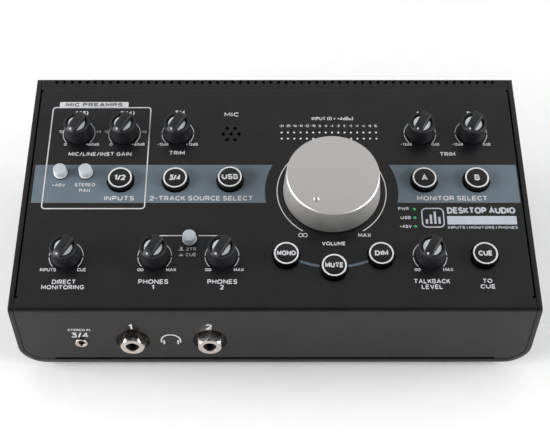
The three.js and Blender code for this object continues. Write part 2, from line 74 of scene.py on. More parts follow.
# %% [markdown]
# ## Working in each panel's own axes
#
# The controls stand on a sloping panel, so they are easiest to build flat and then lay in
# place. Each panel gets a matrix that takes millimetres, measured on that panel, to metres in
# the frame: x to the right, y up the panel, z straight out of it. The top panel's slope comes
# from the volume knob's own axis, and its front edge from the cover's box.

# %% Panel matrices
MM = 0.001


def axes(x, y, z, origin):
    """The matrix of a panel from its three directions and its origin."""
    turn = Matrix((x, y, z)).transposed().to_4x4()
    return Matrix.Translation(origin) @ turn @ Matrix.Scale(MM, 4)


RIGHT, BACK, UP = Vector((1, 0, 0)), Vector((0, 1, 0)), Vector((0, 0, 1))
volume_foot = Vector(joints["volume_turn"]["pos_m"])
panel_normal = Vector(joints["volume_turn"]["axis"]).normalized()
up_slope = panel_normal.cross(RIGHT)
cover_low, cover_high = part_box("top_cover")
along_slope = (volume_foot.y - cover_low.y) / up_slope.y
front_edge = volume_foot - up_slope * along_slope
front_edge.x = 0

TOP = axes(RIGHT, up_slope, panel_normal, front_edge)
FRONT = axes(RIGHT, UP, -BACK, Vector((0, cover_low.y, 0)))
REAR = axes(-RIGHT, UP, BACK, Vector((0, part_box("rear_panel")[1].y, 0)))
UNDER = axes(RIGHT, -BACK, -UP, Vector((0, 0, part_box("base_wrap")[0].z)))
PLAIN = Matrix.Scale(MM, 4)
SLOPE = math.atan2(up_slope.z, up_slope.y)
print("the top panel slopes by", round(math.degrees(SLOPE), 2), "degrees")


def measure(node, panel):
    """Lowest and highest corner of a CAD node in a panel's own axes, in millimetres."""
    flip = np.array(panel.inverted())
    points = np.array([vertex.co for vertex in frame["nodes"][node].data.vertices])
    local = points @ flip[:3, :3].T + flip[:3, 3]
    return Vector(local.min(0)), Vector(local.max(0))


def middle(node, panel):
    """Centre of a CAD node on its panel, at the panel's own level."""
    low, high = measure(node, panel)
    return Vector(((low.x + high.x) / 2, (low.y + high.y) / 2, 0))


def joint_foot(name, panel=TOP):
    """Where a hinge's axis meets its panel."""
    return panel.inverted() @ Vector(joints[name]["pos_m"])


# %% [markdown]
# ## Camera and light
#
# The object is seen from above through a 73 mm lens, a little over half a metre up. The light
# is plain and soft: a pale room that is darker behind the camera, and a square lamp low on
# either side, so that the dark paint still shows its form.

# %% Camera
CAMERA_PLACE = Vector((-2.2, -432.4, 541.7)) * MM
CAMERA_TILT, CAMERA_TURN, CAMERA_ROLL = (math.radians(a) for a in (49.214, -0.294, 0.212))
camera = bpy.data.objects.new("camera", bpy.data.cameras.new("camera"))
bpy.context.collection.objects.link(camera)
camera.data.lens = 72.91
camera.matrix_world = (
    Matrix.Translation(CAMERA_PLACE)
    @ Matrix.Rotation(CAMERA_TURN, 4, "Z")
    @ Matrix.Rotation(math.pi / 2 - CAMERA_TILT, 4, "X")
    @ Matrix.Rotation(CAMERA_ROLL, 4, "Z")
)
bpy.context.scene.camera = camera
bpy.context.scene.view_settings.view_transform = "Standard"
print("camera is", round((camera.location - volume_foot).length, 3), "m from the volume knob")


# %% Lamps and room
def lamp(name, place, size, watts):
    """A square soft lamp that looks at the middle of the object."""
    light = bpy.data.lights.new(name, "AREA")
    light.energy, light.size = watts, size
    thing = bpy.data.objects.new(name, light)
    thing.location = place
    toward = Vector((0, 0, 0.05)) - Vector(place)
    thing.rotation_euler = toward.to_track_quat("-Z", "Y").to_euler()
    bpy.context.collection.objects.link(thing)


lamp("lamp_left", (-1.25, -0.3, 0.28), 1.0, 33.0)
lamp("lamp_right", (1.25, -0.25, 0.3), 1.0, 25.0)

# The room is pale, and darker on the side that the camera is on.
ROOM_LIGHT, ROOM_DARK = 0.84, 0.03
room = bpy.data.worlds.new("room")
room.use_nodes = True
sky = room.node_tree
toward = sky.nodes.new("ShaderNodeTexCoord")
facing = sky.nodes.new("ShaderNodeVectorMath")
facing.operation = "DOT_PRODUCT"
facing.inputs[1].default_value = CAMERA_PLACE.normalized()
shade = sky.nodes.new("ShaderNodeMapRange")
SHADE_START, SHADE_END = 0.5, 0.85
for socket, value in (("From Min", SHADE_START), ("From Max", SHADE_END),
                      ("To Min", ROOM_LIGHT), ("To Max", ROOM_DARK)):
    shade.inputs[socket].default_value = value
sky.links.new(toward.outputs["Generated"], facing.inputs[0])
sky.links.new(facing.outputs["Value"], shade.inputs["Value"])
sky.links.new(shade.outputs["Result"], sky.nodes["Background"].inputs["Strength"])
sky.nodes["Background"].inputs["Color"].default_value = (1, 1, 1, 1)
bpy.context.scene.world = room

# %% [markdown]
# ## Finishes
#
# Every finish is a Principled shader fed by noise in Object coordinates, so a grain has the
# same size in millimetres on every piece. Powder coat has a pebbled skin, moulded plastic a
# finer one, ink a little of the paint's texture showing through, and nickel almost none.


# %% Finish helpers
class Shader:
    """One node material, with short ways to add and join nodes."""

    def __init__(self, name, roughness, metallic=0.0, specular=0.5):
        self.material = bpy.data.materials.new(name)
        self.material.use_nodes = True
        self.tree = self.material.node_tree
        self.surface = self.tree.nodes["Principled BSDF"]
        self.surface.inputs["Metallic"].default_value = metallic
        self.surface.inputs["Roughness"].default_value = roughness
        self.surface.inputs["Specular IOR Level"].default_value = specular
        self.where = self.node("ShaderNodeTexCoord").outputs["Object"]

    def node(self, kind, **settings):
        made = self.tree.nodes.new(kind)
        for key, value in settings.items():
            if hasattr(made, key):
                setattr(made, key, value)
            else:
                made.inputs[key].default_value = value
        return made

    def join(self, source, target):
        self.tree.links.new(source, target)

    def noise(self, size_mm, detail=2.0, place=None):
        made = self.node("ShaderNodeTexNoise", Scale=1 / (size_mm * MM), Detail=detail)
        self.join(place or self.where, made.inputs["Vector"])
        return made.outputs["Fac"]

    def blend(self, factor, first, second, low=0.3, high=0.7):
        """Colours from first to second as the factor goes from low to high."""
        ramp = self.node("ShaderNodeValToRGB")
        ramp.color_ramp.elements[0].position = low
        ramp.color_ramp.elements[1].position = high
        ramp.color_ramp.elements[0].color = (*first, 1)
        ramp.color_ramp.elements[1].color = (*second, 1)
        self.join(factor, ramp.inputs["Fac"])
        return ramp.outputs["Color"]

    def paint(self, factor, first, second, low=0.3, high=0.7):
        self.join(self.blend(factor, first, second, low, high), self.surface.inputs["Base Color"])

    def gloss(self, factor, low, high):
        """Roughness between two values."""
        span = self.node("ShaderNodeMapRange")
        span.inputs["To Min"].default_value = low
        span.inputs["To Max"].default_value = high
        self.join(factor, span.inputs["Value"])
        self.join(span.outputs["Result"], self.surface.inputs["Roughness"])

    def relief(self, height, depth_mm, strength=1.0):
        bump = self.node("ShaderNodeBump", Strength=strength, Distance=depth_mm * MM)
        self.join(height, bump.inputs["Height"])
        self.join(bump.outputs["Normal"], self.surface.inputs["Normal"])


def linear(red, green, blue):
    """A colour given in the 0 to 255 steps of a screen, as the shader wants it."""
    return tuple((step / 255) ** 2.2 for step in (red, green, blue))


PATCH_MM, GLOSS_SPREAD = 14.0, 0.06


def grained(name, dark, light, roughness, grain_mm, depth_mm, metallic=0.0, specular=0.5):
    """A finish with a fine grain, and a slow drift of colour over the surface."""
    shader = Shader(name, roughness, metallic, specular)
    grain = shader.noise(grain_mm, 3.0)
    drift = shader.noise(PATCH_MM, 2.0)
    shader.paint(drift, dark, light)
    shader.gloss(grain, roughness - GLOSS_SPREAD, roughness + GLOSS_SPREAD)
    shader.relief(grain, depth_mm)
    return shader.material


# %% Paints, plastics and inks
POWDER = grained("powder_coat", linear(23, 23, 25), linear(28, 28, 30), 0.34, 0.35, 0.03, specular=0.36)
REAR_PAINT = grained("rear_paint", linear(18, 18, 19), linear(22, 22, 23), 0.5, 0.35, 0.03)
KNOB_PLASTIC = grained("knob_plastic", linear(20, 20, 23), linear(25, 25, 28), 0.5, 0.25, 0.008)
BUTTON_PLASTIC = grained("button_plastic", linear(14, 14, 15), linear(18, 18, 19), 0.3,
                         0.3, 0.004, specular=0.4)
BLACK_PLASTIC = grained("black_plastic", linear(22, 22, 23), linear(27, 27, 28), 0.45, 0.3, 0.01)
PALE_PLASTIC = grained("pale_plastic", linear(176, 184, 190), linear(184, 192, 198), 0.4, 0.3, 0.004)
INLAY = grained("knob_inlay", linear(238, 246, 250), linear(244, 250, 252), 0.45, 0.2, 0.006)
WHITE_INK = grained("white_ink", linear(196, 197, 200), linear(208, 209, 212), 0.55, 0.3, 0.008)
GREY_INK = grained("grey_ink", linear(176, 180, 190), linear(188, 191, 200), 0.55, 0.3, 0.008)
DARK_INK = grained("dark_ink", linear(50, 50, 52), linear(56, 56, 58), 0.55, 0.3, 0.008)
BAND_INK = grained("band_ink", linear(94, 107, 117), linear(100, 113, 123), 0.5, 0.35, 0.02)
RUBBER = grained("foot_rubber", linear(20, 20, 20), linear(28, 28, 28), 0.85, 0.5, 0.04)
NICKEL = grained("nickel_plate", (0.54, 0.48, 0.44), (0.6, 0.54, 0.5), 0.26, 0.5, 0.002, 1.0)
STEEL = grained("plated_steel", (0.38, 0.38, 0.37), (0.46, 0.46, 0.45), 0.38, 0.6, 0.004, 1.0)
BOARD_GREEN = grained("solder_mask", linear(24, 78, 48), linear(32, 92, 58), 0.4, 0.8, 0.01)
MIC_FELT = grained("microphone_felt", linear(10, 10, 10), linear(22, 22, 22), 0.95, 0.4, 0.06)
print("finishes so far:", len(bpy.data.materials))

# %% [markdown]
# ## Satin metal
#
# The volume knob is turned on a lathe and then blasted, so it has two scales of detail: faint
# rings about its own axis and a fine frosted grain. The rings need coordinates centred on the
# knob and turned with the slope, which a Mapping node gives without moving any object.


# %% The turned finish
def turned_metal(name, colour, panel_point, roughness):
    """Frosted metal with faint rings about an axis that stands on the top panel."""
    shader = Shader(name, roughness, 1.0)
    spin = Matrix.Rotation(-SLOPE, 3, "X")
    foot = TOP @ panel_point
    mapping = shader.node("ShaderNodeMapping")
    mapping.inputs["Rotation"].default_value = (-SLOPE, 0, 0)
    mapping.inputs["Location"].default_value = -(spin @ foot)
    shader.join(shader.where, mapping.inputs["Vector"])
    split = shader.node("ShaderNodeSeparateXYZ")
    shader.join(mapping.outputs["Vector"], split.inputs["Vector"])
    flat = shader.node("ShaderNodeCombineXYZ")
    shader.join(split.outputs["X"], flat.inputs["X"])
    shader.join(split.outputs["Y"], flat.inputs["Y"])
    radius = shader.node("ShaderNodeVectorMath", operation="LENGTH")
    shader.join(flat.outputs["Vector"], radius.inputs[0])
    travel = shader.node("ShaderNodeMath", operation="ADD")
    shader.join(radius.outputs["Value"], travel.inputs[0])
    shader.join(split.outputs["Z"], travel.inputs[1])
    rings = shader.node("ShaderNodeTexNoise", noise_dimensions="1D", Scale=1 / (0.45 * MM))
    shader.join(travel.outputs["Value"], rings.inputs["W"])
    grain = shader.noise(0.25, 2.0)
    both = shader.node("ShaderNodeMath", operation="MULTIPLY_ADD")
    both.inputs[1].default_value = 0.35
    shader.join(rings.outputs["Fac"], both.inputs[0])
    shader.join(grain, both.inputs[2])
    darker = tuple(0.94 * part for part in colour)
    shader.paint(grain, darker, colour, 0.35, 0.65)
    shader.gloss(rings.outputs["Fac"], roughness - 0.03, roughness + 0.05)
    shader.relief(both.outputs["Value"], 0.004)
    return shader.material


SATIN = turned_metal("satin_metal", (0.62, 0.61, 0.60), joint_foot("volume_turn"), 0.5)
print("knob axis on the panel:", [round(part, 1) for part in joint_foot("volume_turn")])


# %% Lights that show through the panel
def lens(name, colour, glow):
    """A clear coloured lens with a weak light behind it."""
    shader = Shader(name, 0.25)
    speck = shader.noise(0.5, 1.0)
    shader.paint(speck, tuple(0.85 * part for part in colour), colour)
    shader.surface.inputs["Emission Color"].default_value = (*colour, 1)
    shader.surface.inputs["Emission Strength"].default_value = glow
    shader.surface.inputs["Coat Weight"].default_value = 0.4
    return shader.material


METER_LENS = lens("meter_lens", (0.78, 0.80, 0.80), 0.05)
GREEN_LENS = lens("status_lens", (0.02, 0.30, 0.13), 0.1)
RING_LENS = lens("button_ring", (0.74, 0.75, 0.76), 0.02)
print("lenses:", METER_LENS.name, GREEN_LENS.name, RING_LENS.name)

# %% [markdown]
# ## Shape helpers
#
# Three ways of making a shape cover most of the object. A lathe turns a profile about an axis,
# for knobs and sockets. A loft joins a row of equal outlines, for anything that tapers. A flat
# shape fills an outline with holes in it, for sheet metal and for ink.


# %% Outlines
def rounded(corners, closed=True, steps=6):
    """A path through corners (x, y) or (x, y, radius), where a radius makes an arc."""
    points = []
    count = len(corners)
    for index, (x, y, *rest) in enumerate(corners):
        tip = Vector((x, y))
        at_end = not closed and index in (0, count - 1)
        if at_end or not rest or rest[0] == 0:
            points.append(tip)
            continue
        back = (Vector(corners[index - 1][:2]) - tip).normalized()
        ahead = (Vector(corners[(index + 1) % count][:2]) - tip).normalized()
        half = back.angle(ahead) / 2
        centre = tip + (back + ahead).normalized() * rest[0] / math.sin(half)
        start = tip + back * rest[0] / math.tan(half) - centre
        end = tip + ahead * rest[0] / math.tan(half) - centre
        turn = math.copysign(math.pi - 2 * half, start.cross(end))
        for step in range(steps + 1):
            points.append(centre + Matrix.Rotation(turn * step / steps, 2) @ start)
    return [(point.x, point.y) for point in points]


def circle(x, y, radius, count=48):
    """Points round a circle."""
    turns = [2 * math.pi * step / count for step in range(count)]
    return [(x + radius * math.cos(turn), y + radius * math.sin(turn)) for turn in turns]


def arc_band(x, y, radius, width, start, end, steps=40):
    """Outline of a curved stroke; the angles are in degrees, anticlockwise from the right."""
    turns = [math.radians(start + (end - start) * step / steps) for step in range(steps + 1)]
    outer, inner = ([(x + r * math.cos(t), y + r * math.sin(t)) for t in turns]
                    for r in (radius + width / 2, radius - width / 2))
    return outer + inner[::-1]


def bar(x, y, width, height, radius=0.0):
    """Outline of a rectangle about its middle."""
    w, h = width / 2, height / 2
    sides = [(x - w, y - h), (x + w, y - h), (x + w, y + h), (x - w, y + h)]
    return rounded([(*corner, radius) for corner in sides])


# %% Lathe, loft and box
def lathe(profile, segments=96, ring=False):
    """A round shape about Z from (radius, height) points, bottom to top along its outside.

    With ring set, the profile closes on itself instead of on the axis.
    """
    points, faces, rows = [], [], []
    for radius, height in profile:
        if radius < 1e-6:
            rows.append([len(points)])
            points.append((0, 0, height))
            continue
        rows.append(list(range(len(points), len(points) + segments)))
        points += [(x, y, height) for x, y in circle(0, 0, radius, segments)]
    pairs = list(zip(rows, rows[1:])) + ([(rows[-1], rows[0])] if ring else [])
    for low, high in pairs:
        for i in range(segments):
            j = (i + 1) % segments
            corners = (low[i % len(low)], low[j % len(low)], high[j % len(high)], high[i % len(high)])
            faces.append(tuple(dict.fromkeys(corners)))
    return points, faces


def loft(rows):
    """A closed shape through rows of points that all have the same count."""
    count = len(rows[0])
    points = [point for row in rows for point in row]
    faces = [tuple(reversed(range(count)))]
    for level in range(len(rows) - 1):
        low, high = level * count, (level + 1) * count
        for i in range(count):
            j = (i + 1) % count
            faces.append((low + i, low + j, high + j, high + i))
    faces.append(tuple(range(len(points) - count, len(points))))
    return points, faces


def prism(outline, low, high):
    """An outline pulled straight up between two heights."""
    return loft([[(x, y, level) for x, y in outline] for level in (low, high)])


def moved(shape, matrix):
    """The same shape in another place."""
    points, faces = shape
    return [tuple(matrix @ Vector(point)) for point in points], faces


def shifted(shape, x, y, z=0):
    return moved(shape, Matrix.Translation((x, y, z)))


def placed(parts, matrix):
    """Shapes with their finishes, all moved together."""
    return [(moved(shape, matrix), finish) for shape, finish in parts]


def laid(parts, at, lift=0):
    """Shapes with their finishes, moved to a point of their panel."""
    return placed(parts, Matrix.Translation((at.x, at.y, lift)))


def one_finish(finish, *shapes):
    """The same finish for several shapes."""
    return [(shape, finish) for shape in shapes]


# %% Flat shapes with holes
def as_mesh(thing):
    """The finished mesh of an object, which is then removed."""
    bpy.context.collection.objects.link(thing)
    ready = thing.evaluated_get(bpy.context.evaluated_depsgraph_get())
    mesh = bpy.data.meshes.new_from_object(ready)
    bpy.data.objects.remove(thing)
    return mesh


def as_shape(mesh):
    """A mesh as points and faces, merged where its points meet."""
    merged = bmesh.new()
    merged.from_mesh(mesh)
    bmesh.ops.remove_doubles(merged, verts=merged.verts, dist=1e-5)
    bmesh.ops.recalc_face_normals(merged, faces=merged.faces)
    points = [tuple(vertex.co) for vertex in merged.verts]
    faces = [tuple(vertex.index for vertex in face.verts) for face in merged.faces]
    merged.free()
    bpy.data.meshes.remove(mesh)
    return points, faces


def flat(outlines, low, high, edge=0.0):
    """Sheet between two heights; the first outline is its rim and the others are holes."""
    curve = bpy.data.curves.new("flat", "CURVE")
    curve.dimensions, curve.fill_mode = "2D", "BOTH"
    curve.extrude = (high - low) / 2 - edge
    curve.bevel_depth, curve.offset, curve.bevel_resolution = edge, -edge, 1
    for outline in outlines:
        spline = curve.splines.new("POLY")
        spline.points.add(len(outline) - 1)
        spline.use_cyclic_u = True
        for point, (x, y) in zip(spline.points, outline):
            point.co = (x, y, 0, 1)
    shape = as_shape(as_mesh(bpy.data.objects.new("flat", curve)))
    return shifted(shape, 0, 0, (low + high) / 2)


# %% [markdown]
# ## Pieces
#
# A piece is a list of shapes with their finishes. They are joined, laid on their panel and
# handed to the body that carries them. The object itself stays at the origin, because the
# patterns read Object coordinates and must not slide when the part moves.


# %% From shapes to pieces
def bevelled(mesh, width_mm):
    """The mesh with its sharp edges rounded over."""
    thing = bpy.data.objects.new("bevelled", mesh)
    bevel = thing.modifiers.new("bevel", "BEVEL")
    bevel.width, bevel.segments, bevel.limit_method = width_mm * MM, 2, "ANGLE"
    bevel.angle_limit = math.radians(35)
    return as_mesh(thing)


def piece(name, body, parts, panel, stands_for=(), bevel=0.0, sharp=32):
    """Joins (shape, finish) pairs into one object that rides on a body."""
    whole, finishes = bmesh.new(), []
    for (points, faces), finish in parts:
        if finish not in finishes:
            finishes.append(finish)
        corners = [whole.verts.new(panel @ Vector(point)) for point in points]
        for face in faces:
            made = whole.faces.new([corners[i] for i in face])
            made.material_index = finishes.index(finish)
            made.smooth = True
    mesh = bpy.data.meshes.new(name)
    whole.to_mesh(mesh)
    whole.free()
    for finish in finishes:
        mesh.materials.append(finish)
    if bevel:
        mesh = bevelled(mesh, bevel)
    mesh.set_sharp_from_angle(angle=math.radians(sharp))
    thing = bpy.data.objects.new(name, mesh)
    bpy.context.collection.objects.link(thing)
    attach(thing, body)
    if stands_for:
        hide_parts(*stands_for)
    print(f"{name}: {len(mesh.polygons)} faces on {body}")
    return thing


# %% [markdown]
# ## The top cover
#
# The front, the sloping top and the rear lip are one sheet. It is made here as a workshop
# makes it: cut flat with all its holes, then folded twice. Extra cuts across each fold let the
# flat mesh bend smoothly, and a function takes every point of the flat sheet to its place.

# %% The cover's folded line
SHEET = 1.2
FRONT_FOLD, REAR_FOLD = 2.5, 1.5
cover_bottom = cover_low.z / MM
cover_front = front_edge.z / MM
cover_depth = (cover_high.y - cover_low.y) / MM
slope_length = cover_depth / math.cos(SLOPE)
front_turn, rear_turn = math.pi / 2 - SLOPE, math.pi / 2 + SLOPE
front_tangent = FRONT_FOLD * math.tan(front_turn / 2)
rear_tangent = REAR_FOLD * math.tan(rear_turn / 2)
LIP = 12.5

# Each stretch is a length and the angle that it turns through.
stretches = [
    (cover_front - cover_bottom - front_tangent, 0.0),
    (FRONT_FOLD * front_turn, front_turn),
    (slope_length - front_tangent - rear_tangent, 0.0),
    (REAR_FOLD * rear_turn, rear_turn),
    (LIP - rear_tangent, 0.0),
]
flat_length = sum(length for length, turn in stretches)
fold_starts = np.cumsum([0] + [length for length, turn in stretches])
print("flat sheet:", round(flat_length, 1), "mm long")


def fold(distance, height):
    """Point (y, z) of the folded sheet, a distance along it and a height above its outside."""
    y, z, heading = 0.0, cover_bottom, math.pi / 2
    for length, turn in stretches:
        step = min(max(distance, 0.0), length)
        if turn:
            radius = length / turn
            bent = step / radius
            y += radius * (math.sin(heading) - math.sin(heading - bent))
            z += radius * (math.cos(heading - bent) - math.cos(heading))
            heading -= bent
        else:
            y += step * math.cos(heading)
            z += step * math.sin(heading)
        distance -= step
        if distance <= 0:
            break
    return y - height * math.sin(heading), z + height * math.cos(heading)


def on_slope(v):
    """Distance along the flat sheet of a point v up the sloping panel."""
    return fold_starts[2] + v - front_tangent


# %% What is cut out of the cover
SMALL_KNOBS = [
    "gain_knob_1", "gain_knob_2", "trim_knob_34", "trim_knob_a", "trim_knob_b",
    "direct_knob", "phones_knob_1", "phones_knob_2", "talkback_knob",
]
BUTTON_WORDS = {
    "button_12": "1/2", "button_34": "3/4", "button_usb": "USB", "button_a": "A",
    "button_b": "B", "button_mono": "MONO", "button_mute": "MUTE", "button_dim": "DIM",
    "button_cue": "CUE",
}
PUSH_CAPS = ["phantom_cap", "stereo_pan_cap", "phones_source_cap"]
KNOB_HOLE, BUTTON_HOLE, CAP_HOLE, VOLUME_HOLE = 3.9, 8.1, 4.5, 5.0
STATUS_HOLE, MINI_HOLE = 1.15, 3.35
VENTS, VENT_PITCH, VENT_RADIUS, VENT_ROW = 58, 4.667, 1.1, 154.2
DISH = 9.6

knob_at = {name: joint_foot(name.replace("_knob", "") + "_turn") for name in SMALL_KNOBS}
volume_at = joint_foot("volume_turn")
button_at = {name: middle(name, TOP) for name in BUTTON_WORDS}
cap_at = {name: middle(name, TOP) for name in PUSH_CAPS}
mic_at = middle("talkback_mic", TOP)
meter_low, meter_high = measure("meter_light_guide", TOP)
status_low, status_high = measure("status_light_guide", TOP)
phone_at = [middle(f"phone_jack_{number}", FRONT) for number in (1, 2)]
mini_at = middle("mini_jack", FRONT)
print("first gain knob stands at", [round(part, 1) for part in knob_at["gain_knob_1"][:2]])

METER_COLUMNS, METER_ROWS, GUIDE_EDGE = 16, 2, 2
meter_x = (meter_low.x + GUIDE_EDGE, meter_high.x - GUIDE_EDGE)
meter_v = (meter_low.y + GUIDE_EDGE, meter_high.y - GUIDE_EDGE)
status_x = (status_low.x + status_high.x) / 2
status_v = np.linspace(status_low.y + GUIDE_EDGE, status_high.y - GUIDE_EDGE, 3)
MIC_PITCH, MIC_ROW, MIC_HOLE = 4.7, 4.1, 1.1
mic_holes = [(mic_at.x + MIC_PITCH * i, mic_at.y) for i in (-1, 0, 1)]
mic_holes += [(mic_at.x + MIC_PITCH * i, mic_at.y + MIC_ROW * j)
              for i in (-0.5, 0.5) for j in (-1, 1)]

top_holes = [(at.x, at.y, radius)
             for points, radius in ((knob_at, KNOB_HOLE), (button_at, BUTTON_HOLE), (cap_at, CAP_HOLE))
             for at in points.values()]
top_holes.append((volume_at.x, volume_at.y, VOLUME_HOLE))
top_holes += [(x, y, MIC_HOLE) for x, y in mic_holes]
top_holes += [((i - (VENTS - 1) / 2) * VENT_PITCH, VENT_ROW, VENT_RADIUS) for i in range(VENTS)]
print("holes in the top:", len(top_holes))

# %% Cut flat, then fold
COVER_HALF = 141.95
CORNER = 11.9
SIDE_SLOT = (7.4, 148.2, 0.75)
SLOT_END = (1.3, 0.9)
FRONT_SLOT = (125.6, 1.4)


def cover_rim():
    """Outline of the flat sheet: rounded lower corners, a slot at each side and one below."""
    from_v, to_v, deep = SIDE_SLOT
    start, end = on_slope(from_v), on_slope(to_v)
    long, wide = SLOT_END
    half = COVER_HALF
    slot_half, slot_high = FRONT_SLOT
    inner, inmost = half - deep, half - deep - wide
    right = [
        (slot_half, 0), (half, 0, CORNER), (half, start), (inmost, start), (inmost, start + long),
        (inner, start + long), (inner, end - long), (inmost, end - long), (inmost, end), (half, end),
        (half, flat_length),
    ]
    left = [(-x, *rest) for x, *rest in reversed(right)]
    return rounded(right + left + [(-slot_half, slot_high), (slot_half, slot_high)], steps=12)


FOLD_CUTS, HOLD = 12, 0.15      # cuts across a fold, and a cut just outside each end of it


def folded(shape):
    """Bends a flat shape: cuts across each fold, then takes every point to its place."""
    work = bmesh.new()
    corners = [work.verts.new(point) for point in shape[0]]
    for face in shape[1]:
        work.faces.new([corners[i] for i in face])
    for start, (length, turn) in zip(fold_starts, stretches):
        if not turn:
            continue
        across = [-HOLD, *(length * step / FOLD_CUTS for step in range(FOLD_CUTS + 1)), length + HOLD]
        for offset in across:
            bmesh.ops.bisect_plane(
                work, geom=work.verts[:] + work.edges[:] + work.faces[:], dist=1e-5,
                plane_co=(0, start + offset, 0), plane_no=(0, 1, 0))
    points = [(v.co.x, *fold(v.co.y, v.co.z)) for v in work.verts]
    work.verts.index_update()
    faces = [tuple(v.index for v in face.verts) for face in work.faces]
    work.free()
    return points, faces


def cover_holes():
    """Every hole of the flat sheet, on the top and on the front."""
    holes = [circle(x, on_slope(v), radius, 24 if radius < 2 else 64) for x, v, radius in top_holes]
    holes += [circle(status_x, on_slope(v), STATUS_HOLE, 20) for v in status_v]
    holes += [circle(at.x, at.y - cover_bottom, DISH, 72) for at in phone_at]
    return holes + [circle(mini_at.x, mini_at.y - cover_bottom, MINI_HOLE, 40)]


flat_cover = flat([cover_rim()] + cover_holes(), -SHEET, 0, 0.08)
dish = rounded([
    (DISH, -SHEET), (DISH, 0, 0.25), (8.2, -2.1, 1.2), (4.75, -2.2), (4.75, -3.4), (9.0, -3.4, 1.2),
], steps=5)
dishes = one_finish(REAR_PAINT, *(shifted(lathe(dish, 72, ring=True), at.x, at.y) for at in phone_at))
from_front = Matrix.Translation((0, cover_low.y, 0)) @ PLAIN
piece("cover_sheet", "chassis", [(folded(flat_cover), POWDER)], from_front, ["top_cover"],
      sharp=12)
piece("headphone_dishes", "chassis", dishes, FRONT)

# %% [markdown]
# ## The wrap
#
# The bottom and both sides are one thicker sheet, bent round large lower corners. Its section
# never changes, but its top edge follows the slope, so it is lofted from front to back with a
# row of points at every place where that edge bends.

# %% Loft the wrap
WRAP_SIDE, WRAP_FLOOR, WRAP_CORNER = 2.75, 3.0, 15.0
wrap_low, wrap_high = (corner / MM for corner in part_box("base_wrap"))
wrap_half = wrap_high.x


def wrap_section(y, top):
    """The bent sheet's outline where its sides reach a given height."""
    low, inside = wrap_low.z, wrap_half - WRAP_SIDE
    floor, inner = low + WRAP_FLOOR, WRAP_CORNER - WRAP_SIDE
    outline = rounded([
        (-wrap_half, top), (-wrap_half, low, WRAP_CORNER), (wrap_half, low, WRAP_CORNER),
        (wrap_half, top), (inside, top), (inside, floor, inner), (-inside, floor, inner),
        (-inside, top),
    ], steps=14)
    return [(x, y, z) for x, z in outline]


side_line = rounded([
    (0, wrap_low.z), (0, cover_front, FRONT_FOLD),
    (cover_depth, cover_front + cover_depth * math.tan(SLOPE), REAR_FOLD), (cover_depth, wrap_low.z),
], closed=False, steps=8)[1:-1]
wrap_rows = [wrap_section(y, z) for y, z in side_line]
piece("wrap_sheet", "chassis", [(loft(wrap_rows), POWDER)], from_front, ["base_wrap"],
      bevel=0.3)

# %% Rear panel
COMBO_HOLE, LINE_HOLE = 12.2, 4.75
rear_low, rear_high = measure("rear_panel", REAR)
line_at = [middle(f"line_jack_{number}", REAR) for number in range(1, 7)]
combo_at = [middle(f"combo_jack_{number}", REAR) for number in (1, 2)]
usb_at, dc_at, power_at = (middle(name, REAR)
                           for name in ("usb_socket", "dc_inlet", "power_switch_housing"))


def rear_sheet():
    """The rear panel with its socket holes."""
    corners = [(rear_low.x, rear_low.y, CORNER), (rear_high.x, rear_low.y, CORNER),
               (rear_high.x, rear_high.y), (rear_low.x, rear_high.y)]
    holes = [circle(at.x, at.y, COMBO_HOLE, 64) for at in combo_at]
    holes += [circle(at.x, at.y, LINE_HOLE, 40) for at in line_at]
    holes += [bar(usb_at.x, usb_at.y, 12.6, 11.5, 0.4), bar(dc_at.x, dc_at.y, 10, 11.8, 0.4)]
    holes += [bar(power_at.x, power_at.y, 11.8, 17.8, 0.4)]
    return flat([rounded(corners, steps=12)] + holes, rear_low.z, 0, 0.08)


piece("rear_sheet", "chassis", [(rear_sheet(), REAR_PAINT)], REAR, ["rear_panel"],
      sharp=12)

# %% [markdown]
# ## Ink
#
# The printing is real geometry, a few hundredths of a millimetre thick, so it stays crisp at
# any distance. The words are drawn with a small pen alphabet whose strokes are ribbons of even
# width, fitted to the length and height of the printed word. The wide coloured band is a flat
# shape with a hole for each button.

